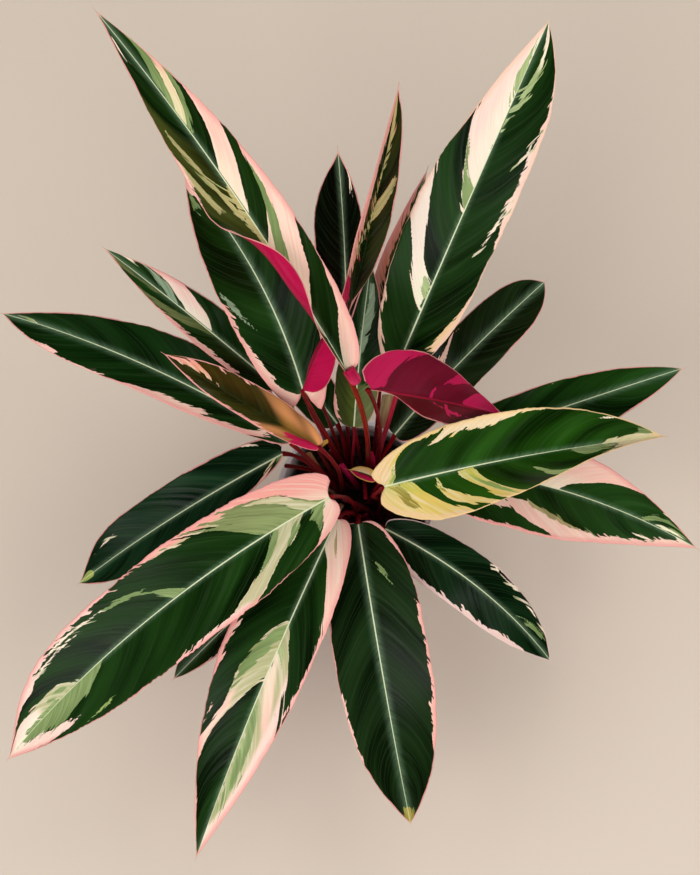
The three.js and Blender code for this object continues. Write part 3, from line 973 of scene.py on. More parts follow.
@dataclass(frozen=True)
class StalkFinish:
    """Living petiole: smooth, juicy and satin, dark red with fine lengthwise streaks."""

    name: str = "living_petiole"
    streaks: Grain = Grain(0.8, 25, 2.0, rough=0.5)
    level: Ramp = ((0.32, 0.7), (0.55, 1.2))
    roughness: float = 0.4
    ior: float = 1.27
    relief: Pair = (0.4, 0.3)

    def build(self) -> Material:
        """Makes the material: streaks 0.8 mm wide and 25 mm long over each stalk's own tint.

        Returns:
            The material.
        """
        nodes = Nodes(self.name)
        streaks = nodes.noise(nodes.read("stalk"), self.streaks)
        colour = nodes.shade(nodes.read("tint", "Color"), nodes.ramp(streaks, self.level))
        return nodes.surface(colour, self.roughness, streaks, self.relief, {"IOR": self.ior})


@dataclass(frozen=True)
class SoilFinish:
    """Moist peat and bark potting mix: crumbs of 2 to 4 mm in dark and lighter browns, whose hollows are
    nearly black with painted shade.
    """

    name: str = "moist_potting_mix"
    dark: str = "#150d09"
    light: str = "#38261a"
    crumb: float = 3.0
    level: Ramp = ((0.38, 0.72), (0.0, 1.0))
    roughness: float = 0.9
    relief: Pair = (0.8, 2.0)

    def build(self) -> Material:
        """Makes the material from a noise of crumb size in object coordinates. The same noise sinks the bump
        and darkens the colour, so the hollows carry painted shade.

        Returns:
            The material.
        """
        nodes = Nodes(self.name)
        crumbs = nodes.lumps(1 / (self.crumb * MM), 5.0, 0.65)
        # Darker where the noise is low, which is where the bump sinks: painted shade in the hollows.
        colour = nodes.mix(nodes.ramp(crumbs, self.level), rgba(self.dark), rgba(self.light))
        return nodes.surface(colour, self.roughness, crumbs, self.relief)


@dataclass(frozen=True)
class PotFinish:
    """Injection-moulded polypropylene: even white, satin, faintly grained, its inside darkened by painted
    shade.
    """

    name: str = "moulded_polypropylene"
    white: str = "#f0eeec"
    # Colour of the painted shade on the pot's inner wall.
    inner_shade: str = "#33231b"
    grain: float = 0.7
    shade_patches: float = 60.0
    shade_ramp: Ramp = ((0.04, 0.34), (0.0, 0.93))
    roughness: float = 0.38
    ior: float = 1.49
    relief: Pair = (0.15, 0.2)

    def build(self) -> Material:
        """Makes the material: the pot's own attribute says how deep in painted shade its inner wall is, and a
        patchy noise varies that painted shade.

        Returns:
            The material.
        """
        nodes = Nodes(self.name)
        inside = nodes.split(nodes.read("inside"))[0]
        level = nodes.math("MULTIPLY", inside, nodes.lumps(self.shade_patches, 4.0, 0.6))
        colour = nodes.mix(nodes.ramp(level, self.shade_ramp), rgba(self.white), rgba(self.inner_shade))
        grain = nodes.lumps(1 / (self.grain * MM), 2.0)
        return nodes.surface(colour, self.roughness, grain, self.relief, {"IOR": self.ior})


@dataclass(frozen=True)
class DryFinish:
    """Dead leaf sheath: thin, papery and matt, tan with darker lengthwise fibres."""

    name: str = "papery_sheath"
    pale: str = "#d2ab80"
    dark: str = "#7c5232"
    fibres: Grain = Grain(12, 0.6, 3.0, rough=0.5)
    level: Ramp = ((0.35, 0.7), (0.0, 1.0))
    roughness: float = 0.8
    relief: Pair = (0.5, 0.4)

    def build(self) -> Material:
        """Makes the material: fibres 0.6 mm wide that follow the sheath.

        Returns:
            The material.
        """
        nodes = Nodes(self.name)
        fibres = nodes.noise(nodes.read("veins"), self.fibres)
        colour = nodes.mix(nodes.ramp(fibres, self.level), rgba(self.pale), rgba(self.dark))
        return nodes.surface(colour, self.roughness, fibres, self.relief)


@dataclass(frozen=True)
class FloorFinish:
    """Plain matt seamless paper in a warm pale beige."""

    name: str = "seamless_paper"
    colour: str = "#d7c9ba"
    roughness: float = 0.95
    specular: float = 0.1

    def build(self) -> Material:
        """Makes the material: one colour, fully matt."""
        extra = {"Specular IOR Level": self.specular}
        return Nodes(self.name).surface(rgba(self.colour), self.roughness, extra=extra)


# ---- sub-assemblies ----

Skin = tuple[Array, list[list[int]], Array, Array]


@dataclass(frozen=True)
class Stub:
    """A cut or young stalk, or a scrap of sheath, that the crown carries besides its petioles.

    It runs through three places. A flat one is a sheath: this many times wider than thick.
    """

    shoot: str
    foot: Point
    middle: Point
    top: Point
    radius: float = 1.5
    flat: float = 1.0
    tint: tuple[str, str] = ("#3a020a", "#5c0818")

    def curve(self, steps: int) -> Array:
        """Points of the parabola through the three places.

        Its handle is twice the middle less the mean of the ends. One less u squared, twice u
        times one less u, and u squared weigh the foot, the handle and the top.

        Args:
            steps: How many steps it takes.

        Returns:
            The points.
        """
        foot, middle, top = (np.array(place, float) for place in (self.foot, self.middle, self.top))
        handle = 2 * middle - (foot + top) / 2
        u = np.linspace(0, 1, steps + 1)[:, None]
        return (1 - u) ** 2 * foot + 2 * u * (1 - u) * handle + u**2 * top


@dataclass(frozen=True)
class Stalks:
    """The petioles of one shoot and the crown that they sheathe."""

    name: str
    place: Pair
    foot_radius: float = 2.2
    radius: float = 1.6
    joint_radius: float = 2.1
    joint_length: float = 14
    ring: float = 2.6
    bottom: float = 92
    crown_radius: float = 7.5
    crown_top_radius: float = 5.5
    crown_bottom: float = 82
    crown_top: float = 106
    steps: int = 72
    facets: int = 16
    crown_facets: int = 48
    pole: float = 0.02
    soil_level: float = 99
    rise: float = 22
    flare: float = 0.35
    channel: float = 0.16
    seed: float = 4.7
    stub_seed: int = 20
    crown_tint: str = "#2a0409"

    def curve(self, blade: Blade) -> Array:
        """Points of a petiole, evenly spaced from its foot to its blade.

        It is a cubic Bezier curve: one less u cubed, three u times one less u squared, three u
        squared times one less u, and u cubed weigh its foot, its two handles and its end.

        Args:
            blade: The blade that the petiole carries.

        Returns:
            The points.
        """
        base = np.array(blade.base, float)
        outward = np.array([base[0] - self.place[0], base[1] - self.place[1], 0.0])
        foot = np.array([*self.place, self.bottom]) + self.ring * unit(outward)
        height = base[2] - foot[2]
        along = blade.directions(np.array([0.0]))[0][0]
        arrival = unit(base - foot) if blade.knee else unit(np.array([0, 0, 1.0]) + blade.reach * along)
        end = base - blade.gap * arrival - blade.setback * along
        sway = np.array([*blade.sway, 0.0])
        lower = foot + 0.08 * outward + np.array([0, 0, 0.25 * height + self.rise]) + sway
        upper = end - 0.35 * height * arrival + sway
        u = np.linspace(0, 1, 400)[:, None]
        points = (1 - u) ** 3 * foot + 3 * u * (1 - u) ** 2 * lower + 3 * u**2 * (1 - u) * upper + u**3 * end
        steps = np.linalg.norm(np.diff(points, axis=0), axis=1)
        length = np.concatenate([[0], np.cumsum(steps)])
        even = np.linspace(0, length[-1], self.steps + 1)
        return np.stack([np.interp(even, length, points[:, k]) for k in range(3)], -1)

    def tube(self, blade: Blade, seed: int) -> Skin:
        """Mesh of one petiole.

        Its radius eases from the foot's to the stalk's over the lower half, and swells again at
        the joint under the blade. The foot is flattened into a sheath, and a shallow channel
        runs up its inner side: the radius is less by a power of the cosine round the stalk.

        Args:
            blade: The blade that it carries.
            seed: Number that shifts its streaks.

        Returns:
            Vertices, faces, the place on the stalk and the tint of each vertex.
        """
        centre = self.curve(blade)
        u = np.linspace(0, 1, self.steps + 1)
        length = np.linalg.norm(np.diff(centre, axis=0), axis=1).sum()
        tangent = unit(np.gradient(centre, axis=0))
        lean = np.array([blade.base[0] - self.place[0], blade.base[1] - self.place[1], 0.0])
        outward = unit(lean - (tangent @ lean)[:, None] * tangent)
        sideways = np.cross(tangent, outward)
        sheath = (self.foot_radius - self.radius) * (1 - smooth(2 * u))
        joint = (self.joint_radius - self.radius) * (1 - smooth((1 - u) * length / self.joint_length))
        radius = blade.thick * (self.radius + sheath + joint)
        flat = 1 + self.flare * (1 - smooth(3.2 * u))
        tints = STALK_TINTS.get(blade.name, STALK_TINTS["common"])
        return self.skin(centre, outward, sideways, radius, flat, tints, seed)

    def stub(self, stub: Stub, seed: int) -> Skin:
        """Mesh of one stub: its radius is even and rounds off at the top as a ball does.

        Args:
            stub: The stub to build.
            seed: Number that shifts its streaks.

        Returns:
            Vertices, faces, the place on the stub and the tint of each vertex.
        """
        centre = stub.curve(self.steps)
        tangent = unit(np.gradient(centre, axis=0))
        sideways = unit(np.cross(tangent, (0.1, -0.3, 1.0)))
        outward = np.cross(sideways, tangent)
        away = np.linalg.norm(centre - centre[-1], axis=1)
        cap = stub.radius * min(stub.flat, 4.0)
        rounded = np.sqrt(np.maximum(1 - np.clip(1 - away / cap, 0, 1) ** 2, 0.02))
        flat = np.full(len(centre), stub.flat)
        return self.skin(centre, outward, sideways, stub.radius * rounded, flat, stub.tint, seed)

    def skin(
        self,
        centre: Array,
        outward: Array,
        sideways: Array,
        radius: Array,
        flat: Array,
        tints: tuple[str, str],
        seed: int,
    ) -> Skin:
        """Closed tube round a line, flattened sideways, with a channel up its inner side.

        Args:
            centre: Points of the line.
            outward: Direction away from the channel at each.
            sideways: Direction in which it is flattened at each.
            radius: Radius at each.
            flat: How many times wider than thick it is at each.
            tints: Colour at the foot and at the top.
            seed: Number that shifts its streaks.

        Returns:
            Vertices, faces, the place on the tube and the tint of each vertex.
        """
        length = np.concatenate([[0], np.cumsum(np.linalg.norm(np.diff(centre, axis=0), axis=1))])
        angle = np.linspace(0, 2 * np.pi, self.facets, endpoint=False)
        channel = 1 - self.channel * np.maximum(0, -np.cos(angle)) ** 6
        ring = radius[:, None] * channel
        points = (
            centre[:, None]
            + outward[:, None] * (ring * np.cos(angle))[..., None]
            + sideways[:, None] * (ring * np.sin(angle) * flat[:, None])[..., None]
        )
        faces = capped_faces(len(centre), self.facets)
        around = np.tile(angle * self.radius, len(centre))
        shift = np.full(len(around), self.seed * seed)
        place = np.stack([around, np.repeat(length, self.facets), shift], -1)
        dark, light = (np.array(linear(c)) for c in tints)
        rise = smooth((length / length[-1] - 0.12) / 0.6)[:, None, None]
        shade = np.broadcast_to(dark * (1 - rise) + light * rise, points.shape)
        return points.reshape(-1, 3), faces, place, shade.reshape(-1, 3)

    def crown(self) -> Skin:
        """Mesh of the crown: a lathed stump whose radius waves round it as folded sheaths do.

        Returns:
            Vertices, faces, the place on the stump and the tint of each vertex.
        """
        profile = np.array(
            [
                [self.pole, self.crown_bottom],
                [self.crown_radius, self.crown_bottom],
                [self.crown_radius, self.soil_level],
                [self.crown_radius - 0.4, self.soil_level + 2],
                [self.crown_top_radius, self.crown_top - 1],
                [self.crown_top_radius - 1, self.crown_top],
                [self.pole, self.crown_top + 0.4],
            ]
        )
        angle = np.linspace(0, 2 * np.pi, self.crown_facets, endpoint=False)
        fold = 1 + 0.05 * np.sin(5 * angle + self.place[0]) + 0.03 * np.sin(11 * angle)
        radius = profile[:, :1] * fold
        z = np.repeat(profile[:, 1:], self.crown_facets, axis=1)
        x, y = self.place[0] + radius * np.cos(angle), self.place[1] + radius * np.sin(angle)
        place = np.stack([radius * angle, z, np.zeros_like(radius)], -1).reshape(-1, 3)
        shade = np.tile(linear(self.crown_tint), (radius.size, 1))
        return np.stack([x, y, z], -1).reshape(-1, 3), capped_faces(*radius.shape), place, shade

    def build(self, blades: tuple[Blade, ...], finish: Material) -> Object:
        """Makes the shoot.

        Args:
            blades: Every blade of the plant; its own are picked by their shoot.
            finish: The stalks' finish.

        Returns:
            The shoot's object.
        """
        own = [blade for blade in blades if blade.shoot == self.name]
        parts = [self.crown(), *(self.tube(blade, k) for k, blade in enumerate(own))]
        own_stubs = [(k, stub) for k, stub in enumerate(STUBS) if stub.shoot == self.name]
        parts += [self.stub(stub, self.stub_seed + k) for k, stub in own_stubs]
        faces: list[list[int]] = []
        count = 0
        for vertices, part_faces, _, _ in parts:
            faces += [[v + count for v in face] for face in part_faces]
            count += len(vertices)
        return Piece(
            name="stalks_" + self.name,
            node="shoot_" + self.name,
            slot="stalks",
            vertices=np.concatenate([p[0] for p in parts]),
            faces=faces,
            materials=[finish],
            vectors={"stalk": np.concatenate([p[2] for p in parts])},
            colours={"tint": np.concatenate([p[3] for p in parts])},
        ).build()


@dataclass(frozen=True)
class Pot:
    """Thin-walled pot with a stepped collar, a rolled rim and drainage holes."""

    height: float = 118
    foot_radius: float = 45
    collar_height: float = 26
    collar_step: float = 1.8
    rim_radius: float = 65
    rim_width: float = 3.2
    rim_depth: float = 3
    wall: float = 1.5
    floor: float = 2
    holes: int = 6
    hole_radius: float = 4
    hole_circle: float = 34
    hub_radius: float = 24
    hub_outer: float = 41
    per_hole: int = 32
    # How far below the rim the painted shade inside the pot reaches its full depth.
    shade_fade: float = 18
    pole: float = 0.01
    floor_ring_radius: float = 12

    def body_radius(self, z: float) -> float:
        """Outer radius of the tapered body at a height."""
        top = self.rim_radius - self.rim_width - self.collar_step
        return self.foot_radius + (top - self.foot_radius) * z / self.height

    def wall_profile(self) -> Array:
        """Radius and height of the wall's section, from the foot up the outside and down inside.

        Its corners are rounded by a few short steps each, and its rim by a quarter circle.

        Returns:
            The section's points.
        """
        step = self.height - self.collar_height
        lip = self.height - self.rim_depth
        r = self.body_radius
        collar = self.collar_step
        turn = np.linspace(0, math.pi / 2, 5)
        bead = [(self.rim_radius - 1 + math.cos(a), self.height - 1 + math.sin(a)) for a in turn]
        inner = r(self.height) + collar - self.wall
        return np.array(
            [
                (self.hub_outer, 0),
                (r(0) - 1.2, 0),
                (r(0) - 0.4, 0.25),
                (r(0), 1),
                (r(0.5 * step), 0.5 * step),
                (r(step) - 0.05, step - 0.6),
                (r(step) + 0.3 * collar, step),
                (r(step) + 0.85 * collar, step + 0.6),
                (r(step) + collar, step + 1.4),
                (r(step + 9) + collar, step + 9),
                (r(lip) + collar, lip - 0.8),
                (r(lip) + collar + 0.5, lip),
                (self.rim_radius - 0.4, lip),
                (self.rim_radius, lip + 0.4),
                *bead,
                (inner + 1, self.height),
                (inner + 0.3, self.height - 0.3),
                (inner, self.height - 1),
                (r(step + 2) + collar - self.wall, step + 2),
                (r(step + 1) + collar - self.wall - 0.3, step + 1),
                (r(step) - self.wall, step - 0.2),
                (r(0.5 * step) - self.wall, 0.5 * step),
                (r(4) - self.wall, 4),
                (r(3) - self.wall - 0.5, self.floor + 0.3),
                (r(2) - self.wall - 1.5, self.floor),
                (self.hub_outer, self.floor),
            ]
        )

    def floor_ring(self, number: int) -> tuple[Array, Array]:
        """Outline of a hole, and of the sixth of the floor round it, point for point.

        The outer points run round a square that is bent into the sixth: its first side goes to
        the radius and its second to the angle.

        Args:
            number: Which hole it is.

        Returns:
            Points of the hole and of the sixth.
        """
        n = self.per_hole
        side = np.linspace(-1, 1, n, endpoint=False)
        one = np.ones(n)
        square = np.concatenate([[one, side], [-side, one], [-one, -side], [side, -one]], axis=1)
        middle = (self.hub_outer + self.hub_radius) / 2
        radius = middle + square[0] * (self.hub_outer - self.hub_radius) / 2
        angle = (number + 0.5 + 0.5 * square[1]) * 2 * np.pi / self.holes
        outer = np.stack([radius * np.cos(angle), radius * np.sin(angle)], -1)
        turn = np.arctan2(square[1], square[0])
        at = (number + 0.5) * 2 * np.pi / self.holes
        x = self.hole_circle + self.hole_radius * np.cos(turn)
        y = self.hole_radius * np.sin(turn)
        hole = np.stack([x * np.cos(at) - y * np.sin(at), x * np.sin(at) + y * np.cos(at)], -1)
        return hole, outer

    def build(self, finish: Material) -> Object:
        """Makes the pot: a lathed wall, a hub and a pierced floor, welded where they meet.

        Args:
            finish: The pot's finish.

        Returns:
            The pot's object.
        """
        segments = self.per_hole * self.holes
        angle = np.linspace(0, 2 * np.pi, segments, endpoint=False)
        grids = []

        def lathe(profile: Array) -> None:
            """Turns a profile about the axis and keeps its closed grid."""
            radius, z = profile[:, :1], np.repeat(profile[:, 1:], segments, axis=1)
            grids.append(np.stack([radius * np.cos(angle), radius * np.sin(angle), z], -1))

        lathe(self.wall_profile())
        hub = np.array([self.pole, self.floor_ring_radius, self.hub_radius], float)
        lathe(np.stack([hub, 0 * hub], -1))
        lathe(np.stack([hub[::-1], 0 * hub + self.floor], -1))
        for number in range(self.holes):
            hole, outer = self.floor_ring(number)
            mix = np.linspace(0, 1, 6)[:, None, None]
            fan = hole * (1 - mix) + outer * mix
            under = np.concatenate([fan, np.zeros(fan.shape[:2] + (1,))], -1)
            over = np.concatenate([fan[::-1], np.full(fan.shape[:2] + (1,), self.floor)], -1)
            rim = np.stack([over[-1], under[0]])
            grids += [under, over, rim]
        faces = []
        count = 0
        for grid in grids:
            faces.append(ring_quads(*grid.shape[:2], count))
            count += grid.shape[0] * grid.shape[1]
        points = np.concatenate([grid.reshape(-1, 3) for grid in grids])
        quads = weld(points, np.concatenate(faces))
        radius = np.hypot(points[:, 0], points[:, 1])
        edge = np.array([self.body_radius(z) for z in points[:, 2]])
        # Painted shade inside the pot: none at the rim, deepening to full over the fade below it; the outside
        # stays white.
        depth = np.clip((self.height - points[:, 2]) / self.shade_fade, 0, 1)
        collar = np.where(points[:, 2] > self.height - self.collar_height + 0.3, self.collar_step, 0)
        inside = np.where(radius < edge + collar - 0.7, depth, 0) * (points[:, 2] > self.floor - 0.5)
        inner_shade = np.stack([inside, inside, inside], -1)
        return Piece("white_pot", "pot", "pot", points, quads, [finish], vectors={"inside": inner_shade}).build()


def weld(points: Array, faces: Array) -> list[list[int]]:
    """Joins vertices in the same place.

    Args:
        points: Vertices, in millimetres.
        faces: Quads over them.

    Returns:
        The faces over the first vertex of each place, without the corners that fall together.
    """
    _, first, back = np.unique(np.round(points, 3), axis=0, return_index=True, return_inverse=True)
    joined = first[back.ravel()][faces]
    return [list(dict.fromkeys(face)) for face in joined.tolist() if len(set(face)) > 2]


@dataclass(frozen=True)
class Soil:
    """Potting mix: a crumbly top on a body that fills the pot."""

    level: float = 99
    lump: float = 1.4
    crumb: float = 0.075
    bottom: float = 2.35
    step: float = 91.7
    rings: int = 90
    segments: int = 180
    crumbs: int = 620
    seeds: tuple[int, int] = (11, 5)

    def height(self, x: Array, y: Array) -> Array:
        """Height of the top: two long waves, and a sum of twelve short waves for the crumbs.

        Args:
            x: Place to the right.
            y: Place to the back.

        Returns:
            The height.
        """
        long = np.sin(0.31 * x + 0.5) * np.cos(0.27 * y) + 0.7 * np.sin(0.53 * y - 0.41 * x)
        dice = np.random.default_rng(self.seeds[0])
        short = 0 * x
        for size in np.repeat((5.0, 3.2, 2.2, 1.6), 3):
            turn, shift = dice.uniform(0, 2 * np.pi, 2)
            short += size * np.sin(2 * np.pi * (x * np.cos(turn) + y * np.sin(turn)) / size + shift)
        return self.level + self.lump * long + self.crumb * short

    def build(self, finish: Material, pot: Pot) -> Object:
        """Makes the soil.

        Args:
            finish: The soil's finish.
            pot: The pot that holds it.

        Returns:
            The soil's object.
        """
        angle = np.linspace(0, 2 * np.pi, self.segments, endpoint=False)
        top = pot.body_radius(self.step) - pot.wall - 0.4
        foot = pot.body_radius(self.bottom) - pot.wall - 2.0
        radius = np.concatenate([np.linspace(0.01, top, self.rings), [top, foot, 0.01]])[:, None]
        x, y = radius * np.cos(angle), radius * np.sin(angle)
        z = self.height(x, y)
        z[self.rings - 1] = z[self.rings - 2]
        z[-3], z[-2], z[-1] = self.step, self.bottom, self.bottom
        points = np.stack([x, y, z], -1)[::-1]
        faces = ring_quads(*x.shape).tolist()
        body = points.reshape(-1, 3)
        lumps, lump_faces = self.scatter(top - 4)
        faces += (lump_faces + len(body)).tolist()
        return Piece("potting_mix", "soil", "soil", np.concatenate([body, lumps]), faces, [finish]).build()

    def scatter(self, reach: float) -> tuple[Array, Array]:
        """Crumbs of bark and peat on the top: squashed six-sided lumps of random size and turn.

        Args:
            reach: Greatest distance from the middle.

        Returns:
            Their vertices and faces.
        """
        dice = np.random.default_rng(self.seeds[1])
        ring = np.linspace(0, 2 * np.pi, 6, endpoint=False)
        rows = [(0.0, -1.0), (0.8, -0.6), (1.0, 0.0), (0.75, 0.62), (0.0, 1.0)]
        shape = np.array([[(r * np.cos(a), r * np.sin(a), z) for a in ring] for r, z in rows])
        rings, sides = shape.shape[:2]
        size = dice.uniform(0.7, 2.2, (self.crumbs, 1, 1, 1))
        squash = dice.uniform(0.45, 1.0, (self.crumbs, 1, 1, 3))
        noise = dice.uniform(0.8, 1.2, (self.crumbs, rings, sides, 3))
        noise[:, 0], noise[:, -1] = 1.0, 1.0
        turn = dice.uniform(0, 2 * np.pi, (self.crumbs, 1, 1))
        local = shape * size * squash * noise
        x = local[..., 0] * np.cos(turn) - local[..., 1] * np.sin(turn)
        y = local[..., 0] * np.sin(turn) + local[..., 1] * np.cos(turn)
        away = reach * np.sqrt(dice.uniform(0, 1, (self.crumbs, 1, 1)))
        where = dice.uniform(0, 2 * np.pi, (self.crumbs, 1, 1))
        px, py = away * np.cos(where), away * np.sin(where)
        z = local[..., 2] + self.height(px, py) + 0.2 * size[..., 0]
        points = np.stack([x + px, y + py, z], -1)
        faces = ring_quads(rings, sides)[None] + rings * sides * np.arange(self.crumbs)[:, None, None]
        return points.reshape(-1, 3), faces.reshape(-1, 4)


@dataclass(frozen=True)
class SoftBox:
    """A square soft light: its direction round the plant and from straight up, and its share.

    Only the mirrored ones are seen in the leaves' gloss; the others are soft fill.
    """

    name: str
    around: float
    tilt: float
    share: float
    distance: float = 2.5
    size: float = 1.5
    mirrored: bool = False
    aim: float = 0.2

    @property
    def place(self) -> Point:
        """Where it hangs: distance times the sine of the tilt sideways, and its cosine over the aim.

        Returns:
            The place, in metres.
        """
        around, tilt = math.radians(self.around), math.radians(self.tilt)
        side = self.distance * math.sin(tilt)
        return (side * math.cos(around), side * math.sin(around), self.distance * math.cos(tilt) + self.aim)

    def power(self, level: float) -> float:
        """Watts that light the floor below to this share of full white.

        The light that falls on the floor is power times the cosine of the tilt over pi times
        the distance squared, and full white is a fall of pi.
        """
        return self.share * level * math.pi**2 * self.distance**2 / math.cos(math.radians(self.tilt))


@dataclass(frozen=True)
class Studio:
    """Paper floor, a ring of soft lights and a camera that looks down on the plant from above."""

    floor_half: float = 4.0
    camera_place: Point = (0.116862, -0.282554, 1.536224)
    camera_back: Point = (0.08274216, -0.22733222, 0.97029573)
    lens: float = 73.42
    sensor: float = 36.0
    sky: float = 0.14
    sky_colour: str = "#fbfaf8"
    lamp_colour: str = "#fffdfb"
    level: float = 1.25
    boxes: tuple[SoftBox, ...] = (
        SoftBox("upper_left_fill", 130, 42, 0.05),
        SoftBox("upper_right_fill", 60, 44, 0.14),
        SoftBox("left_fill", 190, 44, 0.13),
        SoftBox("right_fill", 0, 44, 0.12),
        SoftBox("lower_left_fill", 240, 44, 0.19),
        SoftBox("lower_right_fill", 300, 44, 0.165),
        SoftBox("window", 232, 42, 0.08, size=1.4, mirrored=True),
        SoftBox("right", 0, 52, 0.03, size=0.7, mirrored=True),
    )

    def build(self, finish: Material) -> None:
        """Makes the floor, the lights and the camera.

        Args:
            finish: The floor's finish.
        """
        h = self.floor_half
        mesh = bpy.data.meshes.new("floor")
        mesh.from_pydata([(-h, -h, 0), (h, -h, 0), (h, h, 0), (-h, h, 0)], [], [(0, 1, 2, 3)])
        mesh.materials.append(finish)
        floor = bpy.data.objects.new("floor", mesh)
        bpy.context.collection.objects.link(floor)
        world = bpy.data.worlds.new("soft_room")
        world.use_nodes = True
        background = world.node_tree.nodes["Background"]
        background.inputs[0].default_value = rgba(self.sky_colour)
        background.inputs[1].default_value = self.sky
        world.cycles_visibility.glossy = False
        bpy.context.scene.world = world
        for box in self.boxes:
            self.light(box)
        bpy.context.scene.view_settings.view_transform = "Standard"
        bpy.context.scene.camera = self.camera()

    def turned(self, back: Array) -> list[list[float]]:
        """Rows of the turn that points an object's own back axis this way, its side level.

        Args:
            back: Direction in which its back points.

        Returns:
            The three rows.
        """
        back = unit(np.array(back, float))
        right = unit(np.cross((0.0, 1.0, 0.0), back))
        return np.stack([right, np.cross(back, right), back], -1)

    def place(self, item: Object, at: Point, back: Array) -> None:
        """Sets an object's place and turn.

        Args:
            item: The object.
            at: Where it goes.
            back: Direction in which its back points.
        """
        matrix = np.eye(4)
        matrix[:3, :3] = self.turned(back)
        matrix[:3, 3] = at
        bpy.context.collection.objects.link(item)
        item.matrix_world = Matrix(matrix.tolist())

    def light(self, box: SoftBox) -> None:
        """Adds a square area light that faces the plant.

        Args:
            box: The soft box that it stands for.
        """
        lamp = bpy.data.lights.new(box.name, "AREA")
        lamp.energy, lamp.size = box.power(self.level), box.size
        lamp.color = linear(self.lamp_colour)
        item = bpy.data.objects.new(box.name, lamp)
        item.visible_glossy = box.mirrored
        self.place(item, box.place, np.array(box.place) - np.array([0, 0, box.aim]))

    def camera(self) -> Object:
        """Adds the camera, above the plant and a little in front of it.

        Returns:
            The camera's object.
        """
        lens = bpy.data.cameras.new("camera")
        lens.lens = self.lens
        lens.sensor_width = self.sensor
        item = bpy.data.objects.new("camera", lens)
        self.place(item, self.camera_place, np.array(self.camera_back))
        return item


# ---- the plant ----

STALK_TINTS: dict[str, tuple[str, str]] = {
    "common": ("#380106", "#7c0610"),
    "blade_01": ("#4a0203", "#8e1808"),
    "blade_16": ("#6a0610", "#dc2c4c"),
    "blade_18": ("#4a0410", "#860c20"),
    "blade_19": ("#4a0410", "#860c20"),
    "blade_21": ("#4a0410", "#860c20"),
    "blade_24": ("#8a1030", "#c41a4c"),
}

LEFT_HALF: tuple[Pair, ...] = ((0, 0), (100, 0), (100, 100), (0, 100))
RIGHT_HALF: tuple[Pair, ...] = ((0, 0), (100, 0), (100, -100), (0, -100))

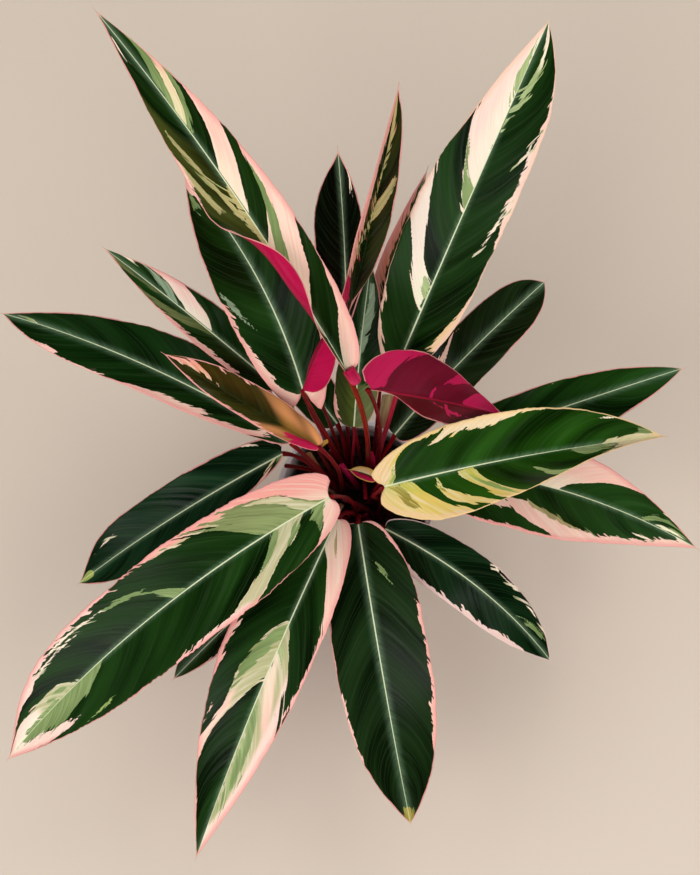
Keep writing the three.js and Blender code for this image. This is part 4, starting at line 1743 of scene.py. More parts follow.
# Each row starts with the number of its blade. A corner on the midrib, the margin or an end, or
# close to it, carries on beyond it.
SECTORS: tuple[Sector, ...] = (
    Tone.KHAKI(1, (30, 0), (60, 0), (80, 100), (48, 100)),
    Tone.OLIVE(1, (0, 0), (20, 0), (20, 100), (0, 100)),
    Tone.PINK(1, (12, 0), (36, 0), (40, 100), (12, 100), firm=4),
    Tone.PINK(1, (0, 0), (2, -10), (6, -30), (10, -50), (13, -75), (20, -90), (30, -97), (30, -100),
        (0, -100), firm=4),
    Tone.PINK(1, (13, 0), (17, -10), (21, -35), (24.5, -60), (30, -75), (36, -100), (63, -100), (60, -97),
        (50, -80), (42, -55), (38, -30), (34, 0)),
    Tone.SAGE(1, (25, -10), (31, -5), (38, -35), (45, -65), (53, -85), (45, -78), (38, -60), (33, -40),
        (28, -25)),
    Tone.PINK(1, (40.5, 0), (44, -15), (50, -40), (54, -65), (60, -85), (62.5, -100), (76, -100), (72, -85),
        (65, -60), (60, -35), (56, -10), (53.5, 0)),
    Tone.SAGE(1, (65.5, 0), (80, -12), (86, -55), (90, -100), (79, -100), (75, -85), (70, -50)),
    Tone.CREAM(1, (66.5, 0), (70, 0), (76, -35), (80, -55), (84.5, -100), (80, -100), (76.5, -70), (70, -32)),
    Tone.STRAW(1, (41, 12), (50, 30), (60, 52), (69, 76), (66.5, 80), (58, 60), (50, 40), (42, 28), firm=3),
    Tone.STRAW(1, (46, 55), (56, 78), (65, 97), (60, 97), (53, 85), (45, 70), firm=3),
    Tone.STRAW(1, (28, 2), (30, 12), (40, 15), (50, 12), (52, 2)),
    Tone.PETAL(1, (48, 100), (48, 95), (55, 94), (62, 96), (62, 100), firm=4),
    Tone.CHALK(1, (85, 75), (87, 65), (93, 60), (93, 75)),
    Tone.PINK(2, (0, 55), (2, 52), (5, 70), (9, 82), (11, 72), (15, 78), (20, 82), (25, 85), (28, 92),
        (35, 93), (35, 90), (42, 90), (48, 95), (60, 98), (70, 100), (0, 100), firm=4),
    Tone.MIST(2, (29, 50), (34, 66), (40, 80), (50, 90), (55, 95), (50, 85), (44, 75), (38, 70), (33, 58)),
    Tone.SAGE(2, (86, 50), (86, 75), (92, 80), (93, 50)),
    Tone.PINK(2, (93, 0), (93, 100), (100, 100), (100, 0)),
    Tone.PINK(2, (0, -20), (2, -25), (5, -50), (6, -100), (0, -100), firm=4),
    Tone.OLIVE(3, (10, 45), (20, 30), (33, 0), (0, 0)),
    Tone.PINK(3, (15, 100), (15, 80), (30, 75), (45, 78), (60, 85), (66, 100), firm=4),
    Tone.MOSS(3, (33, 0), (40, 30), (50, 60), (60, 85), (70, 95), (80, 90), (70, 70), (60, 45), (50, 20),
        (45, 0)),
    Tone.MOSS(3, (60, 3), (70, 20), (80, 45), (87, 75), (93, 90), (95, 50), (93, 10), (80, 25), (70, 8)),
    Tone.BLUSH(3, (34.5, 0), (38, -15), (41, -35), (46, -50), (53, -75), (60, -95), (62, -100), (80, -100),
        (76, -90), (70, -75), (65, -55), (60, -35), (55, -20), (50, 0)),
    Tone.MIST(3, (55, 0), (60, -25), (63, -45), (66, -60), (72, -70), (77, -85), (85, -100), (80, -85),
        (73, -45), (68, -20), (62, 0)),
    Tone.CHALK(3, (83, -70), (85, -100), (90, -100), (88, -75)),
    Tone.PINK(4, (9, 15), (10, 45), (14, 75), (20, 80), (25, 78), (27, 65), (33, 68), (40, 72), (45, 80),
        (50, 85), (58, 97), (60, 100), (12, 100), (8, 70), firm=4),
    Tone.PETAL(4, (60, 100), (60, 95), (75, 95), (75, 100), firm=4),
    Tone.PETAL(4, (75, 100), (76, 85), (82, 78), (85, 90), (87, 95), (95, 95), (95, 100), firm=4),
    Tone.SAGE(4, (87, 0), (91, -10), (93, -40), (90, -35), (89, -10)),
    Tone.BRONZE(5, *LEFT_HALF),
    Tone.BRONZE(5, *RIGHT_HALF),
    Tone.KHAKI(5, (30, 100), (40, 70), (60, 30), (80, 0), (100, 0), (100, 100)),
    Tone.TAN(5, (0, 0), (20, 0), (25, -15), (33, -50), (40, -80), (47, -100), (0, -100)),
    Tone.TAN(5, (0, 0), (22, 0), (26, 30), (33, 60), (40, 100), (0, 100)),
    Tone.CRIMSON(5, (0, 100), (0, 0), (5, 0), (10, 15), (20, 30), (21, 45), (15, 75), (12, 100)),
    Tone.SALMON(5, (20, 100), (25, 85), (40, 86), (50, 80), (55, 86), (70, 90), (85, 88), (100, 80),
        (100, 100), firm=3),
    Tone.SALMON(5, (64, -10), (70, -15), (80, -20), (90, -30), (97, -30), (100, -20), (98, -70), (90, -75),
        (87, -95), (85, -90), (80, -60), (73, -35)),
    Tone.SALMON(5, (42, -100), (45, -93), (60, -95), (85, -95), (85, -100), firm=3),
    Tone.SAGE(6, (0, 0), (2, 0), (3, 30), (5, 80), (0, 80)),
    Tone.CREAM(6, (3, 5), (5, 40), (8.5, 85), (10, 100), (17, 100), (15, 95), (10, 70), (7, 40), (4.5, 10)),
    Tone.CHALK(6, (74, -65), (80, -69), (86, -70), (80, -64)),
    Tone.PETAL(6, (0, -75), (3, -75), (3, -100), (0, -100), firm=4),
    Tone.CHALK(6, (9, -80), (12, -90), (14, -100), (11, -100), (9, -90)),
    Tone.LIME(6, (93, 0), (94, -50), (100, -50), (100, 0)),
    Tone.LIME(6, (93, 0), (94, 50), (100, 50), (100, 0)),
    Tone.PINK(7, (0, 0), (2, 5), (3, 30), (4.5, 50), (5.5, 75), (7.5, 90), (8, 100), (0, 100)),
    Tone.SAGE(7, (1.5, 3), (3, 30), (4, 55), (5.5, 70), (6.8, 85), (6.2, 60), (5.8, 45), (6.5, 30), (5.5, 15),
        (6, 2)),
    Tone.PEAR(7, (6, 0), (7.5, 10), (9.5, 25), (10.5, 40), (12, 48), (15, 55), (17, 62), (19, 75), (24, 92),
        (28, 100), (37, 100), (35, 95), (32, 88), (28, 75), (25, 65), (22, 57), (19.5, 45), (18, 35),
        (16.5, 20), (15, 5), (14, 0)),
    Tone.SAGE(7, (8, 5), (9.8, 22), (10.5, 38), (12, 45), (14, 55), (13, 42), (12, 30), (10.5, 15), firm=1.5),
    Tone.SAGE(7, (13, 3), (14.5, 18), (16, 33), (19, 50), (22, 60), (23.5, 65), (21, 50), (18.5, 35),
        (17, 20), (15.5, 5), firm=1.5),
    Tone.BLUSH(7, (28, 93), (36, 90), (42, 93), (50, 96), (50, 100), (28, 100), firm=3),
    Tone.LIME(7, (67, 77), (69, 84), (72, 86), (78, 95), (76, 90), (72, 80), (68, 75)),
    Tone.BLUSH(7, (76.5, 68), (80, 78), (83, 85), (87, 90), (90, 96), (100, 100), (100, 0), (94, 5), (93, 30),
        (87, 38), (88, 50), (85, 58), (81.5, 58), (80, 63), (82, 70)),
    Tone.SAGE(7, (63, 0), (64.5, 5), (67, 12), (69, 22), (71, 30), (74, 36), (77, 42), (80, 52), (81.5, 56),
        (85, 56), (86.5, 48), (89, 47), (87, 40), (91, 35), (93.5, 28), (94, 10), (95, 0)),
    Tone.FAWN(7, (0, 0), (16.5, -2), (19, -15), (20.5, -30), (22.5, -42), (24, -55), (25.5, -65), (30, -80),
        (34, -87), (40, -92), (40, -100), (0, -100)),
    Tone.PEAR(7, (24, -68), (30, -80), (38, -87), (46, -91), (40, -93), (30, -91), (20, -87), (25, -79)),
    Tone.PEAR(7, (0, 0), (6.5, -2), (8.5, -20), (10, -40), (12, -55), (15, -70), (20, -80), (15, -78),
        (10.5, -68), (8, -50), (6.5, -35), (5, -20), (3, -5), firm=1.5),
    Tone.ROSE(7, (0, 0), (2, -5), (4.5, -20), (6, -35), (7.8, -50), (10, -68), (14, -78), (18, -85),
        (28, -88), (36, -92), (45, -94), (50, -96), (50, -100), (0, -100), firm=2.5),
    Tone.SAGE(7, (37, 0), (39.5, -8), (41, -18), (43, -30), (45.8, -42), (45, -28), (43.5, -15), (42.5, -8),
        (42, 0), firm=1.5),
    Tone.SAGE(7, (45.5, -50), (48, -59), (52, -66), (56, -73), (60, -78), (57.5, -70), (53, -62), (49, -54)),
    Tone.CHALK(7, (58, -74), (63, -82), (68, -87), (74, -93), (80, -96), (73, -87), (67, -82), (62, -77)),
    Tone.CHALK(7, (63, -67), (67, -73), (72, -77), (78, -79), (81, -83), (73, -81), (68, -78)),
    Tone.BLUSH(7, (50, -100), (52, -95), (62, -93), (75, -90), (80, -82), (84, -72), (87, -84), (93, -87),
        (100, -90), (100, -100), firm=3),
    Tone.PEAR(7, (68.5, 0), (72, -5), (74.5, -12), (75, -22), (77, -30), (81, -36), (86, -42), (88.5, -48),
        (90, -60), (93, -72), (96, -70), (100, -50), (100, 0), firm=1.5),
    Tone.BLUSH(7, (87, -5), (86, -35), (89, -50), (91, -62), (95, -74), (100, -74), (100, 0), firm=1.5),
    Tone.SAGE(7, (75.5, -10), (77, -22), (81, -26), (82.5, -18), (79, -10)),
    Tone.SAGE(7, (79, 0), (80, -8), (86, -14), (92, -12), (92, -4), (90, 0)),
    Tone.PETAL(8, (30, 100), (30, 94), (80, 92), (80, 100), firm=4),
    Tone.PINK(9, (0, 100), (0, 0), (7, 0), (9, 10), (10, 20), (11.5, 35), (14, 41), (16, 50), (20, 65),
        (24, 78), (28, 87), (33, 95), (40, 100)),
    Tone.STRAW(9, (2, 20), (5, 38), (11, 62), (7, 35)),
    Tone.BLUSH(9, (30, 100), (33, 95), (42, 93), (47, 89), (56, 87), (58, 92), (50, 94), (48, 100), firm=3),
    Tone.PEAR(9, (28.5, 0), (31, 6), (33, 15), (36, 25), (37.5, 35), (40, 45), (43, 58), (47, 68), (50, 73),
        (55, 80), (58, 86), (60, 90), (62, 100), (100, 100), (100, 0), firm=1.5),
    Tone.PINK(9, (38, 3), (44, 20), (50, 42), (56, 58), (60, 60), (56, 40), (51, 20), (46, 3), firm=1.5),
    Tone.BLUSH(9, (43, 57), (50, 62), (56, 70), (63, 70), (70, 73), (78, 70), (85, 55), (88, 40), (90, 20),
        (92, 0), (100, 0), (100, 100), (60, 100), (56, 85), (50, 73)),
    Tone.FERN(9, (33.5, 2), (36, 12), (38.5, 20), (40.5, 24), (38.5, 10), (37, 2)),
    Tone.FERN(9, (50, 2), (53, 12), (56, 24), (60, 33), (65, 42), (70, 50), (78, 52), (84, 45), (86, 30),
        (85, 15), (78, 15), (72, 8), (64, 6), (58, 3), firm=1.5),
    Tone.SAGE(9, (54, 8), (60, 28), (65, 41), (70, 40), (64, 25), (58, 10), firm=1.5),
    Tone.SAGE(9, (66, 18), (70, 33), (76, 40), (75.5, 30), (70, 20), firm=1.5),
    Tone.SAGE(9, (71, 57), (74, 61), (77, 64), (76.5, 69), (72, 64)),
    Tone.SAGE(9, (78, 22), (79, 34), (83, 33), (83.5, 22)),
    Tone.PEAR(9, (28.5, 0), (30, -8), (32, -20), (35, -30), (38, -38), (41, -46), (45, -55), (50, -57),
        (54, -59), (56, -62), (60, -70), (63, -80), (65, -90), (66, -100), (75, -100), (70, -87), (66, -78),
        (62, -65), (58, -52), (54, -38), (50, -22), (46, -8), (44, 0), firm=1.5),
    Tone.PINK(9, (52, -52), (57, -64), (60, -71), (63, -81), (65, -90), (66, -100), (74, -100), (69, -88),
        (64, -75), (60, -62), (57, -53)),
    Tone.SAGE(9, (30, -2), (31, -10), (32.5, -20), (35, -29), (38, -37), (41, -45), (45, -54), (50, -56),
        (51, -52), (45.5, -38), (43, -26), (39, -16), (36, -10), (34, -2), firm=1.5),
    Tone.PETAL(9, (55, -83), (60, -88), (63, -93), (57, -88)),
    Tone.ROSE(9, (10, -100), (10, -95), (36, -90), (45, -92), (50, -96), (50, -100), firm=3),
    Tone.PETAL(9, (78, -100), (80, -94), (96, -92), (96, -100), firm=4),
    Tone.SAGE(10, (11.5, 20), (13, 35), (15, 45), (19, 52), (22, 60), (20, 50), (17, 42), (15.5, 30),
        (13, 28)),
    Tone.PINK(10, (0, 85), (2, 80), (4, 90), (10, 94), (25, 97), (26, 92), (40, 95), (50, 94), (60, 90),
        (70, 90), (80, 97), (80, 100), (0, 100), firm=4),
    Tone.PETAL(10, (50, -100), (50, -96), (62, -95), (75, -96), (75, -100), firm=4),
    Tone.MUSTARD(10, (96.5, 0), (96.5, -100), (100, -100), (100, 0)),
    Tone.MUSTARD(10, (96.5, 0), (96.5, 100), (100, 100), (100, 0)),
    Tone.SAGE(11, (70, 15), (75, 35), (80, 60), (85, 75), (88, 75), (90, 60), (87, 45), (80, 30)),
    Tone.CHALK(11, (50, 85), (60, 93), (70, 92), (60, 86)),
    Tone.CHALK(11, (67, 80), (75, 90), (88, 95), (78, 85)),
    Tone.CHALK(11, (40, 98), (50, 90), (50, 100), (40, 100)),
    Tone.BLUSH(11, (13, -72), (20, -80), (30, -88), (45, -92), (52, -82), (57, -88), (66, -85), (69, -75),
        (75, -80), (80, -78), (85, -85), (85, -100), (13, -100), firm=4),
    Tone.PINK(12, (30, 0), (45, 0), (47, 10), (50, 22), (53, 33), (57, 45), (61, 57), (65, 70), (70, 85),
        (75, 95), (78, 100), (30, 100), firm=3),
    Tone.SAGE(12, (75, 3), (77.5, 15), (80, 35), (82, 55), (85, 78), (88, 88), (93, 95), (95, 85), (90, 72),
        (87, 60), (84, 40), (81, 20), (79, 5), firm=1.5),
    Tone.CHALK(12, (81, 8), (84, 22), (90, 32), (96, 32), (93, 18), (86, 10)),
    Tone.SAGE(12, (86, 40), (90, 52), (95, 56), (93, 42), (88, 36)),
    Tone.CHALK(12, (82, 100), (83, 88), (86, 94), (90, 95), (90, 100), firm=3),
    Tone.PINK(12, (20, -42), (36, -38), (40, -46), (45, -53), (50, -62), (55, -70), (60, -76), (66, -80),
        (72, -80), (77, -79), (80, -75), (80, -100), (50, -100), (48, -94), (45, -87), (40, -80), (35, -70),
        (30, -60), (20, -60), firm=2.5),
    Tone.STRAW(12, (36, -37), (40, -44), (45, -51), (50, -60), (55, -68), (62, -77), (58, -76), (50, -66),
        (42, -54), (36, -43)),
    Tone.PINK(12, (79, -80), (83, -70), (86, -62), (88, -50), (91.5, -38), (92.5, -20), (92, 0), (100, 0),
        (100, -100), (77, -100), firm=2.5),
    Tone.CHALK(12, (75.5, -56), (80, -60), (82.5, -62), (82.5, -72), (80, -66), (77, -62)),
    Tone.ROSE(12, (16, -100), (17, -95), (30, -93), (50, -96), (50, -100), firm=3),
    Tone.YELLOW(13, (0, 0), (4, 0), (5, 20), (6, 40), (6.8, 60), (8, 72), (10, 85), (14, 92), (20, 90),
        (27, 93), (27, 100), (0, 100), firm=3),
    Tone.BUFF(13, (0, 10), (2, 15), (3.2, 50), (5, 75), (9, 93), (10, 100), (0, 100)),
    Tone.LIME(13, (3.5, 10), (4.5, 25), (5.5, 45), (6.5, 62), (5.6, 60), (4.2, 35)),
    Tone.CREAM(13, (17, 65), (20, 69), (23.5, 71), (27, 79), (30, 82), (35, 77), (40, 76), (45, 82), (50, 88),
        (55, 93), (62, 96), (62, 100), (28, 100), (26, 93), (23, 84), (21, 77), firm=2.5),
    Tone.CHALK(13, (76.5, 80), (79, 83), (81, 90), (84, 96), (87, 100), (84, 90), (81, 83)),
    Tone.CREAM(13, (76, 0), (80, 12), (85, 20), (88, 30), (92, 42), (94, 60), (95, 85), (97, 100), (100, 100),
        (100, 0)),
    Tone.SAGE(13, (89, 35), (92, 50), (92, 80), (95, 93), (97, 70), (95, 45), firm=1.5),
    Tone.YELLOW(13, (0, 0), (11, -5), (13, -20), (14.5, -32), (17, -42), (20, -55), (23, -67), (27, -77),
        (31, -88), (32, -100), (0, -100)),
    Tone.MUSTARD(13, (2, -10), (3, -20), (5, -38), (7, -55), (9, -70), (11, -74), (13, -72), (10.5, -50),
        (9.5, -35), (7, -20), (5, -10), firm=1.5),
    Tone.BUFF(13, (0, -80), (5, -86), (12, -86), (20, -92), (31, -93), (31, -100), (0, -100), firm=3),
    Tone.YELLOW(13, (20, -10), (21, -28), (23.5, -40), (27, -50), (30, -60), (35, -72), (39, -85), (43, -100),
        (40, -100), (35, -86), (30, -78), (26, -68), (23.5, -57), (21.5, -44), (20, -28), firm=1.5),
    Tone.MUSTARD(13, (20.4, -22), (21.4, -38), (24, -50), (22.8, -38)),
    Tone.YELLOW(13, (26.2, -4), (28, -15), (31, -28), (34, -42), (37, -55), (40, -75), (42, -85), (43, -100),
        (50, -100), (47, -85), (44, -70), (41, -53), (38, -38), (35.5, -20), (34, -4), firm=1.5),
    Tone.LIME(13, (30, -5), (33, -20), (36, -35), (40, -50), (44, -72), (48, -90), (46.5, -90), (42, -70),
        (38, -52), (34.5, -35), (31.8, -20)),
    Tone.FERN(13, (54, -36), (55, -50), (57, -62), (58, -78), (61, -100), (66, -100), (63, -85), (60, -72),
        (58, -58), (56, -45), firm=1.5),
    Tone.FERN(13, (69, 0), (69, -25), (70.5, -45), (72, -60), (75, -66), (77.5, -60), (80, -50), (82.5, -35),
        (83.5, -15), (84, 0), firm=1.5),
    Tone.CREAM(13, (84, 0), (84.5, -25), (83, -50), (81, -75), (78, -95), (78, -100), (100, -100), (100, 0)),
    Tone.CHALK(14, (48, 75), (52, 88), (55, 98), (51, 90)),
    Tone.CRIMSON(15, (0, -100), (0, 0), (6, -10), (8, -40), (12, -60), (18, -75), (25, -90), (30, -100),
        firm=3),
    Tone.CRIMSON(15, (0, 0), (0, 100), (10, 100), (6, 40), (5, 0), firm=3),
    Tone.CRIMSON(15, (10, 98), (20, 93), (40, 90), (40, 100), (10, 100), firm=3),
    Tone.CRIMSON(15, (5.5, -10), (7, -40), (10, -60), (15, -75), (20, -87), (30, -100), (40, -100), (28, -88),
        (20, -75), (15, -60), (11, -40), (9, -10)),
    Tone.CRIMSON(15, (38, 0), (40, -25), (48, -50), (55, -75), (58, -100), (72, -100), (66, -85), (60, -70),
        (55, -60), (50, -50), (45, -42), (42, -20), (40, 0)),
    Tone.CRIMSON(15, (83, 0), (87, -10), (88, -50), (93, -60), (90, -30), (90, 0)),
    Tone.CRIMSON(15, (42, 15), (50, 30), (60, 45), (75, 50), (85, 45), (75, 46), (60, 40), (50, 25)),
    Tone.CRIMSON(15, (62, -10), (68, -35), (72, -60), (78, -100), (100, -100), (100, 0), (70, 0)),
    Tone.PINK(16, (0, 100), (0, 90), (5, 88), (10, 93), (17, 96), (18, 100), firm=4),
    Tone.IVORY(16, (14, 8), (15.5, 20), (18, 33), (20, 42), (25, 56), (30, 70), (33, 78), (35, 86), (37, 95),
        (38, 100), (58, 100), (55, 95), (50, 87), (47, 80), (43, 71), (40, 65), (35, 55), (30, 43), (27, 35),
        (25, 22), (23, 12), (22, 3), firm=1.5),
    Tone.FERN(16, (17, 5), (18.5, 15), (20, 20), (24, 25), (23.5, 15), (22, 4)),
    Tone.BLUSH(16, (44, 2), (48, 15), (53, 30), (57, 42), (61, 55), (63, 63), (65, 72), (68, 80), (71, 90),
        (76, 96), (78, 100), (100, 100), (100, 0), (50, 0), firm=1.5),
    Tone.SAGE(16, (44, 2), (48, 15), (53, 30), (57, 42), (60, 52), (64, 63), (62, 50), (58, 38), (55, 28),
        (53.5, 12), (51, 2), firm=1.5),
    Tone.FERN(16, (76, 8), (79, 22), (83, 33), (88, 36), (92, 30), (94, 15), (92, 4), (84, 2), firm=1.5),
    Tone.FERN(16, (66, 0), (70, -8), (74, -17), (78, -27), (83, -37), (88, -47), (93, -55), (95, -50),
        (90, -37), (85, -25), (80, -15), (76, -7), (73, 0), firm=1.5),
    Tone.CHALK(16, (88, -44), (93, -55), (95.5, -68), (97.5, -75), (100, -70), (100, -30), (95, -42)),
    Tone.CHALK(16, (35.5, -66), (40, -70), (45, -76), (52, -83), (56, -87), (50, -85), (44, -81), (40, -75)),
    Tone.BLUSH(16, (37, -100), (40, -96), (45, -92), (48, -88), (52, -87), (58, -87), (63, -84), (67, -83),
        (70, -90), (75, -93), (85, -95), (90, -100), firm=3),
    Tone.CHALK(16, (63, -71), (67, -77), (72, -84), (70, -85), (66, -80)),
    Tone.BUFF(16, (4, -70), (8, -74), (12, -78), (16, -84), (19, -86), (20, -92), (25, -96), (26, -100),
        (3, -100), firm=3),
    Tone.PINK(17, (30, 20), (42, 35), (47, 55), (53, 75), (60, 85), (55, 85), (48, 70), (42, 58), (30, 40)),
    Tone.CHALK(18, (78, -65), (90, -80), (95, -100), (88, -90)),
    Tone.BOTTLE(19, *LEFT_HALF),
    Tone.BOTTLE(19, *RIGHT_HALF),
    Tone.CRIMSON(19, (10, 100), (10, 55), (20, 45), (27, 60), (27, 100)),
    Tone.SALMON(19, (27, 100), (27, 62), (55, 60), (55, 100), firm=4),
    Tone.ROSE(19, (50, 100), (50, 62), (80, 60), (86, 25), (100, 0), (100, 100), firm=4),
    Tone.SALMON(19, (8, -100), (8, 0), (16, 0), (16, -100)),
    Tone.STRAW(19, (36, 62), (42, 60), (47, 50), (54, 10), (56, 0), (50, 0), (47, 25), (42, 42)),
    Tone.STRAW(19, (50, 0), (56, 0), (60, -20), (64.5, -38), (72, -76), (70, -88), (67, -86), (61, -62),
        (54, -30)),
    Tone.STRAW(19, (56, 20), (62, 12), (70, 10), (74, 0), (66, 0), (60, 5)),
    Tone.STRAW(19, (64, 0), (76, 0), (90, 0), (100, 0), (100, -40), (93, -40), (86, -33), (80, -30),
        (74, -20), (68, -5)),
    Tone.OLIVE(20, *LEFT_HALF),
    Tone.BRONZE(20, *RIGHT_HALF),
    Tone.SALMON(20, (10, 100), (15, 55), (90, 50), (100, 30), (100, 100)),
    Tone.STRAW(20, (30, -20), (50, -40), (70, -60), (60, -30), (40, -10)),
    Tone.LICHEN(21, (0, 0), (28, 0), (33, 30), (36, 60), (40, 100), (0, 100)),
    Tone.MOSS(21, (0, 0), (28, 0), (32, -50), (34, -100), (0, -100)),
    Tone.PINK(21, (5, 100), (5, 80), (20, 85), (25, 100), firm=4),
    Tone.MIST(21, (40, 0), (50, -15), (60, -30), (70, -45), (80, -60), (90, -70), (90, -20), (80, -20),
        (70, -5), (66, 0)),
    Tone.MIST(21, (40, 0), (42, 10), (60, 10), (70, 0)),
    Tone.PINK(22, *LEFT_HALF, firm=4),
    Tone.PINK(22, *RIGHT_HALF, firm=4),
    Tone.CRIMSON(24, *LEFT_HALF, firm=6),
    Tone.BUFF(24, *RIGHT_HALF, firm=6),
)

BLADES: tuple[Blade, ...] = (
    Blade("blade_01", "east_north", (11, 49, 325), (-160, 296, 400), (25, 27),
        outline=(Outline.LANCE, Outline.ROUND), lift=6, bow=-6, fold_left=(22, 4), fold_right=(8, 8),
        curl=(178, 0), turn=(0.25, 0.5), tuck=(0.1, 0.26), stand=(58, 0), heel=(1, 2), thick=1.2,
        ground="#0e2404"),
    Blade("blade_02", "north", (-28, 55, 250), (-109, 204, 318), (33, 28),
        outline=(Outline.OVATE, Outline.LANCE), lift=12, bow=-10, heel=(15, 22), gap=1.7, feather=7),
    Blade("blade_03", "west", (-53, 66, 232), (-180, 168, 262), (15, 19),
        outline=(Outline.LANCE, Outline.LANCE), heel=(6, 6), pleat=0.16),
    Blade("blade_04", "west", (-43, 27, 200), (-271, 133, 215), (22, 31),
        outline=(Outline.PADDLE, Outline.LANCE), lift=18, bow=-6, heel=(6, 6), feather=6, ground="#0b2606"),
    Blade("blade_05", "west", (-18, 15, 240), (-124, 72, 300), (11, 17), lift=-6, fold_left=(20, 20),
        fold_right=(20, 20), feather=0.5),
    Blade("blade_06", "west", (-51, 22, 185), (-220, -71, 140), (22, 25),
        outline=(Outline.PADDLE, Outline.BROAD), lift=16, ground="#0c2812", pleat=0.2),
    Blade("blade_07", "south", (-11, -19, 215), (-269, -210, 150), (43, 38),
        outline=(Outline.OVATE, Outline.BROAD), lift=24, bow=-10, heel=(8, 8), ragged=0.009),
    Blade("blade_08", "south", (-42, -56, 148), (-146, -146, 117), (15, 20), lift=8, ground="#0e2806"),
    Blade("blade_09", "south", (-8, -30, 185), (-126, -285, 110), (30, 41),
        outline=(Outline.LANCE, Outline.LANCE), lift=24),
    Blade("blade_10", "south", (7, -32, 172), (42, -259, 95), (39, 35), lift=28, ground="#0f2209", feather=7),
    Blade("blade_11", "south", (27, -34, 160), (155, -133, 105), (22, 25), lift=16, bow=8, ground="#07200a",
        blush="#f0cfc8"),
    Blade("blade_12", "east", (67, 10, 180), (267, -54, 165), (33, 41),
        outline=(Outline.LANCE, Outline.LANCE), lift=12, bow=10, heel=(8, 8), ground="#15330c"),
    Blade("blade_13", "east", (31, -15, 230), (237, 15, 250), (35, 40), lift=18, fold_left=(8, 8),
        fold_right=(8, 72), heel=(14, 8), gap=1.4, ground="#1a4007", blush="#efcb92"),
    Blade("blade_14", "east", (64, 16, 200), (256, 73, 225), (21, 27), lift=14, bow=-2, ground="#103006",
        feather=6),
    Blade("blade_15", "east_north", (26, 42, 300), (122, 38, 226), (22, 33),
        outline=(Outline.LATE, Outline.HEART), lift=8, roll=(205, 190), fold_left=(52, 42),
        fold_right=(10, 20), heel=(4, 10), knee=True, gap=1.6, setback=1.7, sway=(12, 4)),
    Blade("blade_16", "east_north", (49, 80, 268), (157, 275, 400), (35, 33),
        outline=(Outline.LANCE, Outline.FULL), lift=14, bow=-2, heel=(20, 6), thick=1.2, reach=0.5, gap=1.7,
        sway=(4, 0), blush="#f2c8b0"),
    Blade("blade_17", "east_north", (35.5, 40, 166), (154, 142, 230), (22, 22),
        outline=(Outline.BLUNT, Outline.BLUNT), lift=14, heel=(1, 1), feather=7, ground="#0f1e08"),
    Blade("blade_18", "north", (1, 98, 215), (7, 206, 350), (22, 15), outline=(Outline.BROAD, Outline.BROAD),
        lift=8, bow=-3, thick=0.75, ground="#040c02", pleat=0.16),
    Blade("blade_19", "north", (4, 103, 256), (55, 215, 432), (14, 15), outline=(Outline.LANCE, Outline.LATE),
        lift=8, bow=-4, fold_left=(70, 70), fold_right=(10, 20), thick=0.75, feather=0.5),
    Blade("blade_20", "east_north", (27, 100, 222), (69, 199, 322), (15, 14),
        outline=(Outline.LANCE, Outline.LANCE), lift=8, fold_left=(25, 25), fold_right=(25, 25), sway=(5, 0)),
    Blade("blade_21", "north", (6, 39, 200), (26, 141, 290), (17, 18), outline=(Outline.HEART, Outline.OVATE),
        lift=8, heel=(1, 1), thick=0.75),
    Blade("blade_22", "north", (-25, 48, 282), (3, 101, 300), (16, 13), outline=(Outline.HEART, Outline.LATE),
        lift=4, roll=(180, 180), fold_left=(20, 20), fold_right=(55, 75), heel=(1, 1), knee=True, setback=0.9,
        thick=0.7),
    Blade("blade_23", "north", (-11, 52, 158), (-67, 119, 198), (18, 18), heel=(1, 1)),
    Blade("blade_24", "east_north", (19, 8, 150), (-1, 14, 158), (5, 6), lift=3, heel=(1, 1), ripple=0.3,
        feather=0.5, blush="#deb05a"),
)

SHOOTS: tuple[Stalks, ...] = (
    Stalks("north", (-5, 20)),
    Stalks("east_north", (11, 19)),
    Stalks("west", (-9, 3)),
    Stalks("east", (17, 1)),
    Stalks("south", (4, -13)),
)

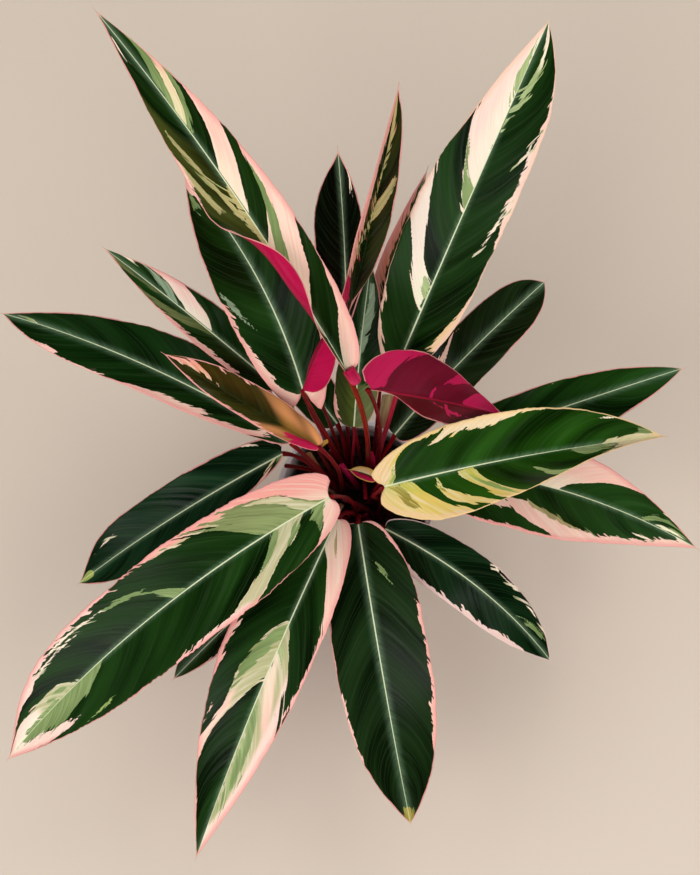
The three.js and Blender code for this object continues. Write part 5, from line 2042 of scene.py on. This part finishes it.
STUBS: tuple[Stub, ...] = (
    Stub("north", (-8, 24, 104), (-12, 39, 170), (-16, 50, 232), 1.4, 1, ("#3c0306", "#6e1212")),
    Stub("north", (5, 25, 108), (5, 36, 150), (6, 40, 188), 1.1, 1, ("#4c0610", "#8a1022")),
    Stub("north", (-10, 26, 104), (-14, 29, 122), (-17, 32, 150), 1.5, 1, ("#440306", "#64060a")),
    Stub("north", (-23, 31, 170), (-19, 32, 178), (-16, 33, 182), 0.4, 4.5, ("#b07a34", "#d8a848")),
    Stub("west", (-4, 10, 104), (-25, 17, 134), (-53, 18, 160), 1.8, 1, ("#440306", "#6c060a")),
    Stub("west", (1, 11, 103), (-5, 18, 122), (-10, 23, 138), 2.5, 1, ("#6a0420", "#cc2058")),
    Stub("west", (-10, 11, 104), (-18, 20, 120), (-24, 29, 136), 1.0, 1, ("#500620", "#8c1440")),
    Stub("west", (-9, 6, 103), (-20, 9, 118), (-30, 12, 140), 1.6, 1, ("#380206", "#580408")),
    Stub("west", (-29, 21, 112), (-33, 26, 128), (-37, 32, 142), 0.45, 8, ("#a86c40", "#d09868")),
    Stub("east_north", (15, 23, 128), (16, 25, 142), (15, 29, 156), 0.5, 4.6, ("#8a0826", "#c01448")),
    Stub("east_north", (13, 49, 330), (16, 45, 324), (18, 43, 317), 3.4, 1.3, ("#b01444", "#cc2a5c")),
    Stub("east_north", (26, 47, 160), (29, 57, 172), (32, 68, 186), 0.45, 11, ("#9c7858", "#c8b080")),
    Stub("east_north", (6, 20, 106), (8, 7, 116), (9, -3, 122), 1.6, 1, ("#5c0414", "#a8142e")),
    Stub("south", (10, -2, 104), (14, 3, 114), (20, 8, 128), 1.5, 1, ("#60041a", "#98102c")),
    Stub("south", (18, -11, 104), (21, -4, 118), (23, 3, 136), 1.7, 1, ("#4c0210", "#780a1c")),
    Stub("south", (26, -14, 103), (27, -10, 112), (29, -5, 122), 1.3, 1, ("#4c0210", "#780a1c")),
    Stub("south", (9, -6, 103), (2, -10, 112), (-6, -15, 118), 1.5, 1, ("#5c0416", "#9c1030")),
    Stub("south", (14, -10, 103), (9, -13, 110), (5, -18, 114), 1.6, 1, ("#5c0416", "#9c1030")),
    Stub("south", (20, -16, 103), (7, -11, 130), (-4, -12, 172), 2.0, 1, ("#340208", "#640a18")),
    Stub("south", (-5, -15, 103), (-10, -16, 110), (-16, -16, 116), 1.3, 1, ("#5c0416", "#8a0c24")),
)

SHEATHS: tuple[Blade, ...] = tuple(
    Blade(name, "", base, tip, (3.5, 3), lift=3, fold_left=(35, 35), fold_right=(35, 35), heel=(0, 0),
        ripple=0.4)
    for name, base, tip in (
        ("sheath_1", (-16.7, 5.8, 104), (-34, 18, 121)),
        ("sheath_2", (-9.1, 26.5, 104), (-18, 42, 126)),
        ("sheath_3", (-11.7, -3.4, 104), (-19, -17, 109)),
    )
)

SHEATH_NUMBER = 40


def dry_sheath(sheath: Blade, finish: Material) -> Object:
    """Makes one papery sheath with the leaf's mesh and its own finish.

    Args:
        sheath: The sheath's shape.
        finish: The papery finish.

    Returns:
        The sheath's object.
    """
    piece = LeafMesh(sheath, SHEATH_NUMBER).build([finish, finish], ())
    piece.name = "papery_" + sheath.name
    return piece


def main() -> None:
    """Builds the plant, its pot and the studio in order."""
    logging.basicConfig(level=logging.INFO, format="%(name)s: %(message)s")
    upper = LeafFinish("living_leaf_upper").build()
    lower = LeafFinish("living_leaf_underside", underside=True, roughness=0.4, ior=1.26).build()
    for number, blade in enumerate(BLADES, 1):
        own = tuple(sector for sector in SECTORS if sector.blade == number)
        LeafMesh(blade, number).build([upper, lower], own)
    stalk = StalkFinish().build()
    for shoot in SHOOTS:
        shoot.build(BLADES, stalk)
    papery = DryFinish().build()
    for sheath in SHEATHS:
        dry_sheath(sheath, papery)
    pot = Pot()
    pot.build(PotFinish().build())
    Soil().build(SoilFinish().build(), pot)
    Studio().build(FloorFinish().build())


if __name__ == "__main__":
    main()
